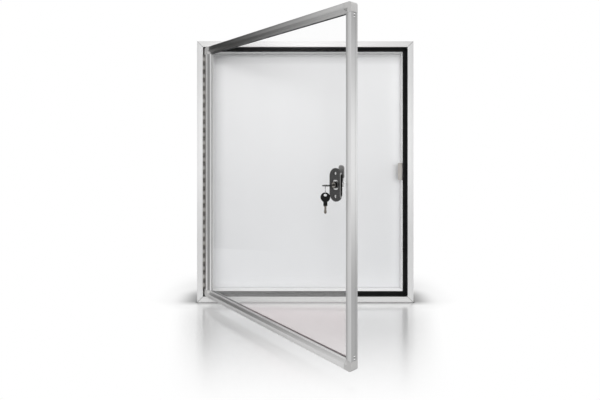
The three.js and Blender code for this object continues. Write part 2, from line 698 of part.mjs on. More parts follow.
// The door's leaf is the case's leaf turned end for end, so its knuckles fall in the gaps.
function doorLeaf() {
  const face = BARREL_RADIUS - LEAF_THICKNESS;
  const heights = leafScrewHeights(DOOR_LEAF_SCREWS, DOOR_LEAF_SCREW_FROM_END);
  const seats = heights.map((z) => countersink(face, LEAF_SCREW_FROM_PIN, z));
  const mirrored = flipped(leafGeometry(1, HINGE_LENGTH / 2 - BLOCK_GAP));
  const group = new THREE.Group();
  group.add(piece("hinge_leaf_door", cut(mirrored, ...seats), "hinge_steel"));
  heights.forEach((z, i) => {
    const screw = countersunkScrew("hinge_door_screw_" + (i + 1));
    screw.position.set(face, LEAF_SCREW_FROM_PIN, z);
    group.add(screw);
  });
  return group;
}

// Mirrors a geometry in X and turns its triangles round so that they still face out.
function flipped(geometry) {
  const places = geometry.attributes.position.array;
  for (let i = 0; i < places.length; i += 9) {
    for (let axis = 0; axis < 3; axis++) {
      const second = places[i + 3 + axis];
      places[i + 3 + axis] = places[i + 6 + axis];
      places[i + 6 + axis] = second;
    }
    for (let corner = 0; corner < 9; corner += 3) {
      places[i + corner] = -places[i + corner];
    }
  }
  geometry.computeVertexNormals();
  return geometry;
}

// Door rail: flat front, bevel down to the glazing bead, glass channel and a hollow back.
function doorSection() {
  const innerWall = CHANNEL_FLOOR - DOOR_WALL;
  const bevelShift = DOOR_WALL * (Math.SQRT2 - 1);
  const bevelEnd = innerWall - PROFILE_FLAT + bevelShift + DOOR_WALL;
  const flangeBack = CHANNEL_BACK + BACK_FLANGE_THICKNESS;
  const section = outline([
    [0, 0, DOOR_EDGE_RADIUS],
    [PROFILE_FLAT, 0, DOOR_EDGE_RADIUS],
    [PROFILE_FLAT + PROFILE_BEVEL, BEAD_FRONT],
    [PROFILE_WIDTH, BEAD_FRONT],
    [PROFILE_WIDTH, CHANNEL_FRONT],
    [CHANNEL_FLOOR, CHANNEL_FRONT],
    [CHANNEL_FLOOR, CHANNEL_BACK],
    [PROFILE_WIDTH, CHANNEL_BACK],
    [PROFILE_WIDTH, flangeBack],
    [CHANNEL_FLOOR, flangeBack],
    [CHANNEL_FLOOR, DOOR_THICKNESS, DOOR_EDGE_RADIUS],
    [0, DOOR_THICKNESS, DOOR_EDGE_RADIUS],
    [0, GROOVE_FROM_FRONT + GROOVE_WIDTH],
    [GROOVE_DEPTH, GROOVE_FROM_FRONT + GROOVE_WIDTH],
    [GROOVE_DEPTH, GROOVE_FROM_FRONT],
    [0, GROOVE_FROM_FRONT],
  ]);
  const chamber = [
    [DOOR_WALL, DOOR_WALL],
    [PROFILE_FLAT - bevelShift, DOOR_WALL],
    [innerWall, bevelEnd],
    [innerWall, DOOR_THICKNESS - DOOR_WALL],
    [DOOR_WALL, DOOR_THICKNESS - DOOR_WALL],
  ];
  section.holes.push(outline(chamber, THREE.Path));
  return section;
}

// Door rails end square against the corner blocks. The uprights have holes for their side screws.
function doorRail(side) {
  const upright = side === "left" || side === "right";
  const length = upright ? DOOR_HEIGHT : DOOR_WIDTH;
  const end = PROFILE_WIDTH + BLOCK_GAP;
  let geometry = extrude(doorSection(), length - 2 * end, EDGE_ARC).translate(0, 0, end);
  if (upright) {
    const corners = cornerScrewHeights();
    const holes = [...corners.top, ...corners.bottom]
      .map((z) => countersink(0, CORNER_SCREW_DEPTH, z + DOOR_HALF_HEIGHT));
    geometry = cut(geometry, ...holes);
  }
  if (side === "left") {
    const holes = leafScrewHeights(DOOR_LEAF_SCREWS, DOOR_LEAF_SCREW_FROM_END)
      .map((z) => screwHole(-OVERRUN, DOOR_WALL + OVERRUN, CORNER_SCREW_DEPTH, z + DOOR_HALF_HEIGHT));
    geometry = cut(geometry, ...holes);
  }
  const rail = piece(DOOR_RAIL_NAMES[side], geometry, "door_silver");
  return onSide(rail, side, DOOR_HALF_WIDTH, DOOR_HALF_HEIGHT);
}

// The cutter that gives the corner blocks the rails' bevel, with its mitre, down to the bead.
function bevelCutter() {
  const width = DOOR_WIDTH - 2 * PROFILE_FLAT;
  const height = DOOR_HEIGHT - 2 * PROFILE_FLAT;
  const cutter = new THREE.BoxGeometry(width, PROFILE_BEVEL, height).translate(0, PROFILE_BEVEL / 2, 0);
  const places = cutter.attributes.position;
  for (let i = 0; i < places.count; i++) {
    const drawn = places.getY(i) > 0 ? PROFILE_BEVEL : 0;
    places.setX(i, places.getX(i) - Math.sign(places.getX(i)) * drawn);
    places.setZ(i, places.getZ(i) - Math.sign(places.getZ(i)) * drawn);
  }
  const mouth = slab(rectangle(width, height), -OVERRUN, 0);
  return join(cutter, mouth);
}

// A corner block: rounded outer corner, the glass channel in its inner corner, and a tongue
// into each of the two rails. It covers the hinge's leaf on the hinge side.
function cornerBlock(name, right, top) {
  const sideX = right ? 1 : -1;
  const sideZ = top ? 1 : -1;
  const outerX = DOOR_HALF_WIDTH + (right ? 0 : BLOCK_OVERHANG);
  const innerX = DOOR_HALF_WIDTH - PROFILE_WIDTH;
  const innerZ = DOOR_HALF_HEIGHT - PROFILE_WIDTH;
  const corners = [
    [sideX * innerX, sideZ * innerZ],
    [sideX * outerX, sideZ * innerZ],
    [sideX * outerX, sideZ * DOOR_HALF_HEIGHT, BLOCK_CORNER_RADIUS],
    [sideX * innerX, sideZ * DOOR_HALF_HEIGHT],
  ];
  const body = slab(outline(corners), 0, DOOR_THICKNESS);
  const channelX = DOOR_HALF_WIDTH - CHANNEL_FLOOR;
  const channelZ = DOOR_HALF_HEIGHT - CHANNEL_FLOOR;
  const flangeBack = CHANNEL_BACK + BACK_FLANGE_THICKNESS;
  const channel = box(-channelX, channelX, CHANNEL_FRONT, CHANNEL_BACK, -channelZ, channelZ);
  const rear = box(-channelX, channelX, flangeBack, DOOR_THICKNESS + OVERRUN, -channelZ, channelZ);
  const near = DOOR_WALL + SEAT_GAP;
  const far = near + TONGUE_WIDTH;
  const root = PROFILE_WIDTH - OVERRUN;
  const end = PROFILE_WIDTH + TONGUE_LENGTH;
  const span = (half, from, to, side) => [side * (half - from), side * (half - to)].sort((a, b) => a - b);
  const inUpright = box(
    ...span(DOOR_HALF_WIDTH, near, far, sideX), near, DOOR_THICKNESS - near,
    ...span(DOOR_HALF_HEIGHT, root, end, sideZ),
  );
  const inRail = box(
    ...span(DOOR_HALF_WIDTH, root, end, sideX), near, DOOR_THICKNESS - near,
    ...span(DOOR_HALF_HEIGHT, near, far, sideZ),
  );
  const heights = cornerScrewHeights()[top ? "top" : "bottom"];
  const reach = span(DOOR_HALF_WIDTH, -OVERRUN, SCREW_LENGTH + OVERRUN, sideX);
  const bores = heights.map((z) => screwHole(...reach, CORNER_SCREW_DEPTH, z));
  const shaped = cut(body, bevelCutter(), channel, rear);
  return piece(name, cut(join(shaped, inUpright, inRail), ...bores), "grey_plastic");
}

function cornerBlocks() {
  return [
    cornerBlock("corner_block_hinge_top", false, true),
    cornerBlock("corner_block_hinge_bottom", false, false),
    cornerBlock("corner_block_lock_top", true, true),
    cornerBlock("corner_block_lock_bottom", true, false),
  ];
}

// The screws through the uprights into the corner blocks' tongues. The hinge's leaf covers its four.
function cornerScrews() {
  const screws = [];
  for (const [end, heights] of Object.entries(cornerScrewHeights())) {
    heights.forEach((z, i) => {
      const lockScrew = countersunkScrew("corner_screw_lock_" + end + "_" + (i + 1));
      lockScrew.rotation.y = Math.PI;
      lockScrew.position.set(DOOR_HALF_WIDTH, CORNER_SCREW_DEPTH, z);
      const hingeScrew = countersunkScrew("corner_screw_hinge_" + end + "_" + (i + 1));
      hingeScrew.position.set(-DOOR_HALF_WIDTH, CORNER_SCREW_DEPTH, z);
      screws.push(lockScrew, hingeScrew);
    });
  }
  return screws;
}

function doorRectangle(inset, Kind = THREE.Shape) {
  return rectangle(DOOR_WIDTH - 2 * inset, DOOR_HEIGHT - 2 * inset, 0, Kind);
}

// The pane, bored for the lock cylinder and for the two screws of its plate.
function glassPane() {
  const pane = doorRectangle(GLASS_EDGE);
  const lockX = DOOR_HALF_WIDTH - LOCK_INSET;
  pane.holes.push(disc(GLASS_BORE_RADIUS, lockX, 0, THREE.Path));
  for (const z of [-LOCK_SCREW_SPACING / 2, LOCK_SCREW_SPACING / 2]) {
    pane.holes.push(disc(GLASS_SCREW_BORE_RADIUS, lockX, z, THREE.Path));
  }
  return piece("glass_pane", slab(pane, GLASS_FRONT, GLASS_BACK, ROUND_FACETS / 2), "glass");
}

// The glazing seal wraps the pane's edge in a U, and shows as a thin line beside the bead.
function glazingSeal() {
  const outer = doorRectangle(GLAZING_SEAL_EDGE);
  outer.holes.push(doorRectangle(PROFILE_WIDTH + GLAZING_SEAL_SHOW, THREE.Path));
  const body = slab(outer, GLAZING_SEAL_FRONT, GLAZING_SEAL_BACK);
  const slot = slab(doorRectangle(GLASS_EDGE - GLASS_GAP), GLASS_FRONT - GLASS_GAP, GLASS_BACK + GLASS_GAP);
  return piece("glazing_seal", cut(body, slot), "black_rubber");
}

// A plate with round ends, standing upright.
function stadium(length, width) {
  return rectangle(width, length, width / 2 * (1 - Number.EPSILON));
}

// The outer lock plate: chamfered front edge, a round recess for the cylinder, two counterbores.
function lockPlate() {
  const shape = stadium(PLATE_LENGTH, PLATE_WIDTH);
  const options = {
    depth: PLATE_THICKNESS - PLATE_CHAMFER,
    curveSegments: FINE_ARC * 2,
    bevelThickness: PLATE_CHAMFER,
    bevelSize: PLATE_CHAMFER,
    bevelOffset: -PLATE_CHAMFER,
    bevelSegments: 1,
  };
  const chamfered = new THREE.ExtrudeGeometry(shape, options).rotateX(Math.PI / 2);
  const rounded = chamfered.translate(0, PLATE_BACK, 0);
  const keep = box(-PLATE_WIDTH, PLATE_WIDTH, PLATE_FRONT, PLATE_BACK, -PLATE_LENGTH, PLATE_LENGTH);
  const recess = turned([
    [0, PLATE_FRONT - OVERRUN],
    [RECESS_RADIUS + RECESS_CHAMFER + OVERRUN, PLATE_FRONT - OVERRUN],
    [RECESS_RADIUS, PLATE_FRONT + RECESS_CHAMFER],
    [RECESS_RADIUS, PLATE_FRONT + RECESS_DEPTH],
    [0, PLATE_FRONT + RECESS_DEPTH],
  ]);
  const bore = bar(HOUSING_RADIUS + SEAT_GAP, PLATE_FRONT, PLATE_BACK + OVERRUN);
  const seats = lockScrewHeights().map((z) => lockScrewSeat(z));
  return piece("lock_plate", cut(common(rounded, keep), recess, bore, ...seats), "lock_black");
}

function lockScrewHeights() {
  return [-LOCK_SCREW_SPACING / 2, LOCK_SCREW_SPACING / 2];
}

function lockScrewSeat(z) {
  const floor = PLATE_FRONT + LOCK_SCREW_SUNK + LOCK_SCREW_HEAD_THICKNESS;
  const wide = LOCK_SCREW_HEAD_RADIUS + COUNTERBORE_GAP;
  const narrow = LOCK_SCREW_SHANK_RADIUS + SEAT_GAP;
  return turned([
    [0, PLATE_FRONT - OVERRUN],
    [wide, PLATE_FRONT - OVERRUN],
    [wide, floor + SEAT_GAP],
    [narrow, floor + SEAT_GAP],
    [narrow, REAR_PLATE_BACK + OVERRUN],
    [0, REAR_PLATE_BACK + OVERRUN],
  ], SCREW_FACETS * 2).translate(0, 0, z);
}

// A domed machine screw with a cross recess, from the plate's counterbore to the rear plate.
function lockScrew(name, z) {
  const front = PLATE_FRONT + LOCK_SCREW_SUNK;
  const neck = front + LOCK_SCREW_HEAD_THICKNESS;
  const body = turned([
    [0, front - LOCK_SCREW_DOME / 2],
    [LOCK_SCREW_HEAD_RADIUS / 2, front],
    [LOCK_SCREW_HEAD_RADIUS - LOCK_SCREW_DOME / 2, front + LOCK_SCREW_DOME / 2],
    [LOCK_SCREW_HEAD_RADIUS, front + LOCK_SCREW_DOME],
    [LOCK_SCREW_HEAD_RADIUS, neck],
    [LOCK_SCREW_SHANK_RADIUS, neck],
    [LOCK_SCREW_SHANK_RADIUS, REAR_PLATE_BACK - SEAT_GAP],
    [0, REAR_PLATE_BACK - SEAT_GAP],
  ], SCREW_FACETS * 2);
  const half = LOCK_SCREW_RECESS_WIDTH / 2;
  const span = LOCK_SCREW_RECESS_SPAN / 2;
  const floor = front + LOCK_SCREW_RECESS_DEPTH;
  const upright = box(-half, half, front - OVERRUN, floor, -span, span);
  const level = box(-span, span, front - OVERRUN, floor, -half, half);
  const screw = piece(name, cut(body, upright, level), "screw_steel");
  screw.position.z = z;
  return screw;
}

// Behind the glass: a strap with a round eye for the cylinder, which the two screws draw tight.
function rearPlate() {
  const strap = slab(stadium(REAR_BAR_LENGTH, REAR_BAR_WIDTH), REAR_PLATE_FRONT, REAR_PLATE_BACK);
  const plate = join(strap, bar(REAR_EYE_RADIUS, REAR_PLATE_FRONT, REAR_PLATE_BACK));
  const bore = bar(HOUSING_RADIUS + SEAT_GAP, REAR_PLATE_FRONT - OVERRUN, REAR_PLATE_BACK + OVERRUN);
  const seats = lockScrewHeights().map((z) => lockScrewSeat(z));
  return piece("lock_rear_plate", cut(plate, bore, ...seats), "lock_black");
}

// The housing: a flanged sleeve through plate, glass and rear plate, with a circlip groove.
function lockHousing() {
  const flangeBack = PLATE_FRONT + RECESS_DEPTH - SEAT_GAP;
  const flangeFront = flangeBack - HOUSING_FLANGE_THICKNESS;
  const grooveFront = REAR_PLATE_BACK + SEAT_GAP / 2;
  const grooveBack = grooveFront + CIRCLIP_THICKNESS + 2 * SEAT_GAP;
  const grooveRadius = HOUSING_RADIUS - CIRCLIP_GRIP;
  const sleeve = turned([
    [0, HOUSING_FRONT],
    [HOUSING_RADIUS - HOUSING_EDGE, HOUSING_FRONT],
    [HOUSING_RADIUS, HOUSING_FRONT + HOUSING_EDGE],
    [HOUSING_RADIUS, flangeFront],
    [HOUSING_FLANGE_RADIUS, flangeFront],
    [HOUSING_FLANGE_RADIUS, flangeBack],
    [HOUSING_RADIUS, flangeBack],
    [HOUSING_RADIUS, grooveFront],
    [grooveRadius, grooveFront],
    [grooveRadius, grooveBack],
    [HOUSING_RADIUS, grooveBack],
    [HOUSING_RADIUS, HOUSING_BACK],
    [0, HOUSING_BACK],
  ]);
  const headSeat = bar(
    PLUG_HEAD_RADIUS + SEAT_GAP, HOUSING_FRONT - OVERRUN, HOUSING_FRONT + PLUG_HEAD_THICKNESS + 2 * SEAT_GAP,
  );
  const bore = bar(PLUG_RADIUS + SEAT_GAP, HOUSING_FRONT, HOUSING_BACK + OVERRUN);
  return piece("lock_housing", cut(sleeve, headSeat, bore), "lock_black");
}

function circlip() {
  const front = REAR_PLATE_BACK + SEAT_GAP / 2 + SEAT_GAP;
  const inner = HOUSING_RADIUS - CIRCLIP_GRIP + SEAT_GAP;
  const outer = inner + CIRCLIP_WIDTH;
  const ring = disc(outer);
  ring.holes.push(disc(inner, 0, 0, THREE.Path));
  const whole = slab(ring, front, front + CIRCLIP_THICKNESS, ROUND_FACETS / 2);
  const half = CIRCLIP_OPENING / 2;
  const opening = box(-half, half, front - OVERRUN, front + CIRCLIP_THICKNESS + OVERRUN, -outer - OVERRUN, 0);
  return piece("lock_circlip", cut(whole, opening), "screw_steel");
}

// The double-D outline of the plug's stub, drawn larger by a gap for what sits on it.
function doubleD(gap, front, back) {
  const round = bar(STUB_RADIUS + gap, front, back);
  const flat = STUB_FLAT + gap;
  const wide = STUB_RADIUS + gap + OVERRUN;
  return common(round, box(-flat, flat, front - OVERRUN, back + OVERRUN, -wide, wide));
}

// The plug: a head, a barrel with the keyway across it, and a flatted stub for the cam.
function lockPlug() {
  const front = HOUSING_FRONT + SEAT_GAP;
  const back = HOUSING_BACK + SEAT_GAP;
  const barrel = turned([
    [0, front],
    [PLUG_HEAD_RADIUS, front],
    [PLUG_HEAD_RADIUS, front + PLUG_HEAD_THICKNESS],
    [PLUG_RADIUS, front + PLUG_HEAD_THICKNESS],
    [PLUG_RADIUS, back],
    [0, back],
  ]);
  const stub = doubleD(0, back - OVERRUN, STUB_BACK);
  const half = KEY_BLADE_HALF_WIDTH + KEYWAY_GAP;
  const rise = KEY_BLADE_THICKNESS / 2 + KEYWAY_GAP;
  const keywayEnd = KEY_END_Y + KEY_LENGTH + KEYWAY_END_GAP;
  const keyway = box(-half, half, front - OVERRUN, keywayEnd, -rise, rise);
  return piece("lock_plug", cut(join(barrel, stub), keyway), "lock_black");
}

// The cam: a narrow foot on the stub and a wide round head with a hook, pointing up when unlocked.
function lockCam() {
  const flareEnd = CAM_HEAD_START + CAM_HEAD_FLARE;
  const hookTop = CAM_HOOK_FLOOR + CAM_HOOK_HEIGHT;
  const shape = outline([
    [-CAM_ARM_HALF_WIDTH, -CAM_ARM_HALF_WIDTH, CAM_FOOT_RADIUS],
    [CAM_ARM_HALF_WIDTH, -CAM_ARM_HALF_WIDTH, CAM_FOOT_RADIUS],
    [CAM_ARM_HALF_WIDTH, CAM_HEAD_START, CAM_FILLET],
    [CAM_HEAD_RIGHT, flareEnd, CAM_FILLET],
    [CAM_HEAD_RIGHT, CAM_REACH, CAM_HEAD_RADIUS],
    [-CAM_HEAD_LEFT, CAM_REACH, CAM_HEAD_RADIUS - CAM_FOOT_RADIUS],
    [-CAM_HEAD_LEFT, hookTop],
    [CAM_HOOK_DEPTH - CAM_HEAD_LEFT, hookTop, CAM_FILLET],
    [CAM_HOOK_DEPTH - CAM_HEAD_LEFT, CAM_HOOK_FLOOR, CAM_FILLET],
    [-CAM_HEAD_LEFT, CAM_HOOK_FLOOR],
    [-CAM_HEAD_LEFT, flareEnd, CAM_FILLET],
    [-CAM_ARM_HALF_WIDTH, CAM_HEAD_START, CAM_FILLET],
  ]);
  const arm = slab(shape, CAM_FRONT, CAM_BACK, FINE_ARC / 2);
  return piece("lock_cam", cut(arm, doubleD(SEAT_GAP, CAM_FRONT - OVERRUN, CAM_BACK + OVERRUN)), "cam_grey");
}

function camNut() {
  const hexagon = bar(NUT_ACROSS_CORNERS / 2, NUT_FRONT, NUT_FRONT + NUT_THICKNESS, 6);
  const bore = bar(STUB_RADIUS + SEAT_GAP, NUT_FRONT - OVERRUN, NUT_FRONT + NUT_THICKNESS + OVERRUN);
  return piece("cam_nut", cut(hexagon, bore), "screw_steel");
}

// The blade's outline from a start to the tip, with its cuts along one edge and their mirror image.
function bladeEdge(start, end, side) {
  const cutLength = end - KEY_TIP - start;
  const notches = NOTCH_SHARES.map((share, i) => [
    side * (KEY_BLADE_HALF_WIDTH - KEY_CUT_DEPTH * NOTCH_DEPTH_SHARES[i]),
    start + cutLength * share,
  ]);
  const nose = [side * KEY_TIP_HALF_WIDTH, end];
  const shoulder = [side * KEY_BLADE_HALF_WIDTH, end - KEY_TIP];
  return [[side * KEY_BLADE_HALF_WIDTH, start], ...notches, shoulder, nose];
}

// A key's moulded head, drawn along +Y from its end: a round disc with an oval hole, and a neck
// with the slot that the blade's tang sits in.
function keyHead(name) {
  const neckHalf = KEY_NECK_WIDTH / 2;
  const spread = Math.asin(neckHalf / KEY_HEAD_RADIUS);
  const quarter = Math.PI / 2;
  const shape = new THREE.Shape();
  shape.absarc(0, KEY_HEAD_RADIUS, KEY_HEAD_RADIUS, quarter + spread, 5 * quarter - spread, false);
  shape.lineTo(neckHalf, KEY_NECK_END);
  shape.lineTo(-neckHalf, KEY_NECK_END);
  shape.closePath();
  const hole = new THREE.Path();
  hole.absellipse(0, KEY_HOLE_FROM_END, KEY_HOLE_WIDTH / 2, KEY_HOLE_HEIGHT / 2, 0, 4 * quarter, false, 0);
  shape.holes.push(hole);
  const options = {
    depth: KEY_HEAD_THICKNESS - 2 * KEY_HEAD_ROUNDING,
    curveSegments: FINE_ARC * 2,
    bevelThickness: KEY_HEAD_ROUNDING,
    bevelSize: KEY_HEAD_ROUNDING,
    bevelOffset: -KEY_HEAD_ROUNDING,
    bevelSegments: 2,
  };
  const moulded = new THREE.ExtrudeGeometry(shape, options);
  moulded.translate(0, 0, KEY_HEAD_ROUNDING - KEY_HEAD_THICKNESS / 2);
  const wide = KEY_TANG_HALF_WIDTH + KEY_TANG_GAP;
  const thick = KEY_TANG_THICKNESS / 2 + KEY_TANG_GAP;
  const slotStart = KEY_NECK_END - KEY_TANG_LENGTH - KEY_TANG_GAP;
  const slot = box(-wide, wide, slotStart, KEY_NECK_END + OVERRUN, -thick, thick);
  return piece(name, cut(moulded, slot), "key_black");
}

// A key's blade with its cuts, and the thinner tang that the head is moulded over.
function keyBlade(name) {
  const start = KEY_NECK_END + SEAT_GAP;
  const right = bladeEdge(start, KEY_LENGTH, 1);
  const left = bladeEdge(start, KEY_LENGTH, -1).reverse();
  const cutBlade = extrude(outline([...right, ...left]), KEY_BLADE_THICKNESS);
  cutBlade.translate(0, 0, -KEY_BLADE_THICKNESS / 2);
  const tang = box(
    -KEY_TANG_HALF_WIDTH, KEY_TANG_HALF_WIDTH,
    KEY_NECK_END - KEY_TANG_LENGTH, start + OVERRUN,
    -KEY_TANG_THICKNESS / 2, KEY_TANG_THICKNESS / 2,
  );
  return piece(name, join(cutBlade, tang), "key_brown");
}

function keyInLock() {
  const key = new THREE.Group();
  key.add(keyHead("key_head"), keyBlade("key_blade"));
  key.position.y = KEY_END_Y;
  return key;
}

// The split ring's wire: two turns side by side across X, with one jog from the first to the second.
class SplitTurns extends THREE.Curve {
  getPoint(share, target = new THREE.Vector3()) {
    const turn = 2 * Math.PI;
    const first = RING_JOG + RING_END_GAP;
    const angle = first + share * 2 * (turn - first);
    const side = THREE.MathUtils.clamp((angle - turn) / RING_JOG, -1, 1);
    const across = side * RING_PITCH / 2;
    return target.set(across, -RING_RADIUS * Math.cos(angle), RING_RADIUS * Math.sin(angle));
  }
}

function keyRing() {
  const options = { steps: RING_STEPS, curveSegments: WIRE_FACETS / 2, extrudePath: new SplitTurns() };
  return piece("key_ring", new THREE.ExtrudeGeometry(disc(RING_WIRE_RADIUS), options), "nickel");
}

// The ring passes down through the key's hole and round its rim, and the spare key hangs from it.
function hangingKeys() {
  const lean = Math.sqrt(RING_RADIUS ** 2 - RING_DROP ** 2);
  const hanging = new THREE.Group();
  const ring = keyRing();
  ring.position.set(0, -lean, -RING_DROP);
  const spare = new THREE.Group();
  const wireTop = RING_WIRE_RADIUS - RING_DROP - RING_RADIUS;
  const holeZ = wireTop + SPARE_HANG_GAP - KEY_HOLE_HEIGHT / 2;
  spare.position.set(0, -lean, holeZ + KEY_HOLE_FROM_END);
  spare.rotation.x = -Math.PI / 2;
  spare.add(keyHead("spare_key_head"), keyBlade("spare_key_blade"));
  hanging.add(ring, spare);
  hanging.position.set(0, KEY_END_Y + KEY_HOLE_FROM_END, 0);
  hanging.rotation.z = RING_TURN;
  return hanging;
}

function lock() {
  const group = new THREE.Group();
  const [low, high] = lockScrewHeights();
  group.add(lockPlate(), rearPlate(), lockHousing(), circlip(), lockPlug(), lockCam(), camNut());
  group.add(lockScrew("lock_screw_lower", low), lockScrew("lock_screw_upper", high));
  group.add(keyInLock(), hangingKeys());
  group.position.x = DOOR_HALF_WIDTH - LOCK_INSET;
  return group;
}

// The door turns about the hinge's pin, which is this group's origin.
function door() {
  const frame = new THREE.Group();
  SIDES.forEach((side) => frame.add(doorRail(side)));
  frame.add(...cornerBlocks(), ...cornerScrews(), glassPane(), glazingSeal(), lock());
  frame.position.set(PIN_TO_WALL + DOOR_HALF_WIDTH, PIN_FORWARD, 0);
  const turning = new THREE.Group();
  turning.add(frame, doorLeaf());
  turning.position.set(PIN_X, PIN_Y, 0);
  turning.rotation.z = -DOOR_OPEN_ANGLE;
  return turning;
}

const board = new THREE.Group();
SIDES.forEach((side) => board.add(caseRail(side)));
board.add(cornerKeys(), backPanel(), rebateSeal(), strike(), caseLeaf(), door());
board.position.z = -WALL_PLANE_Z;

const noticeBoard = new THREE.Group();
noticeBoard.add(board);

export default noticeBoard;
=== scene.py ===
import json
import math
from functools import partial

import bmesh
import bpy
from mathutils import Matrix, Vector

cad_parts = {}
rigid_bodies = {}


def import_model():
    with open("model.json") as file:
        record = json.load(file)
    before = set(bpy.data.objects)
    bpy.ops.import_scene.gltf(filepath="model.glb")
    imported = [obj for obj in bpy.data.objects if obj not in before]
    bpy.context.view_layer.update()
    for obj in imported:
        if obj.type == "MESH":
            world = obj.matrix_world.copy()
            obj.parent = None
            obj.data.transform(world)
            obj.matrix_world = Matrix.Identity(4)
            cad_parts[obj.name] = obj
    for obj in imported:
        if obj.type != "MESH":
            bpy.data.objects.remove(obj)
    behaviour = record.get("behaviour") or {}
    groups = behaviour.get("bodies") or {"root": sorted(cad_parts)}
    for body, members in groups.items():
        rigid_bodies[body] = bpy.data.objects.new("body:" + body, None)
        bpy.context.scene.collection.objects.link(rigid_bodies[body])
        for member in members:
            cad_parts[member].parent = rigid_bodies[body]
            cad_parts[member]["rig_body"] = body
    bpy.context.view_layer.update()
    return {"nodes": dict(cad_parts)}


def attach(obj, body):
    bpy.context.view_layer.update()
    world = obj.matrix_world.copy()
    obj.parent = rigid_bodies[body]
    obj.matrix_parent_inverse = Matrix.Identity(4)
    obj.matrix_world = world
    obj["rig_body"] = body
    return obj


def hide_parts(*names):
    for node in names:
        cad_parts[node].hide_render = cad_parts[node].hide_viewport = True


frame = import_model()
nodes = frame["nodes"]

# The door stands open in the frame by this angle, about a vertical pin at this x and y
DOOR_ANGLE = math.radians(50.4)
HINGE_PIN = (-0.30345, -0.0625)
KNUCKLE_PITCH = 0.025

CASE_HALF_WIDTH = 0.325
CASE_HALF_HEIGHT = 0.3925
CASE_MIDDLE_Z = -0.37825
CASE_DEPTH = 0.06
FLOOR_Z = -0.77075
# The walls round the panel, between the seal and the panel's groove: their depth in y, and how far in
# from the case's outline they stand
WALL_MIDDLE_Y = -0.0236
WALL_HALF_DEPTH = 0.0174
WALL_INSET = 0.0200
# Where the panel meets the top wall, and where the bottom wall meets the seal
PANEL_TOP_Z = -0.018
BOTTOM_WALL_Z = -0.752

# From the hinge pin along the door: middle of the hinge side's bevel, start of its bead, middle of the
# lock side's bead, free edge of the lock plate, and the door's own side face
HINGE_BEVEL = 0.01805
HINGE_BEAD = 0.0208
LOCK_BEAD = 0.590
PLATE_EDGE = 0.5758
DOOR_SIDE = 0.6084
# Where the glass starts, as the hinge side's seal shows it
HINGE_GLASS = 0.028
# Along the lock's axis, the door's own depth: where the cylinder's flange starts
FLANGE_AT = -0.26627
# Above and below the door's middle: the two screws of each corner block
CORNER_SCREWS = (0.3475, 0.3415)

# On the glass, the photo's view of the case's foot climbs by this much along the door
FOOT_CLIMB = 0.264

# Height at which the upright bars are painted palest, as a painted highlight
PAINTED_SHEEN_Z = -0.31

# The set: the floor, and a card at the left that only metal mirrors
FLOOR_REACH = 14.0
CARD_X = -0.95
CARD_FRONT, CARD_BACK = -0.45, 0.9
CARD_FOOT, CARD_HEAD = -0.765, 1.3
CAMERA_AT = (-0.0158, -1.4665, -0.28905)
LIGHT_AIM = (0.0, 0.0, -0.4)


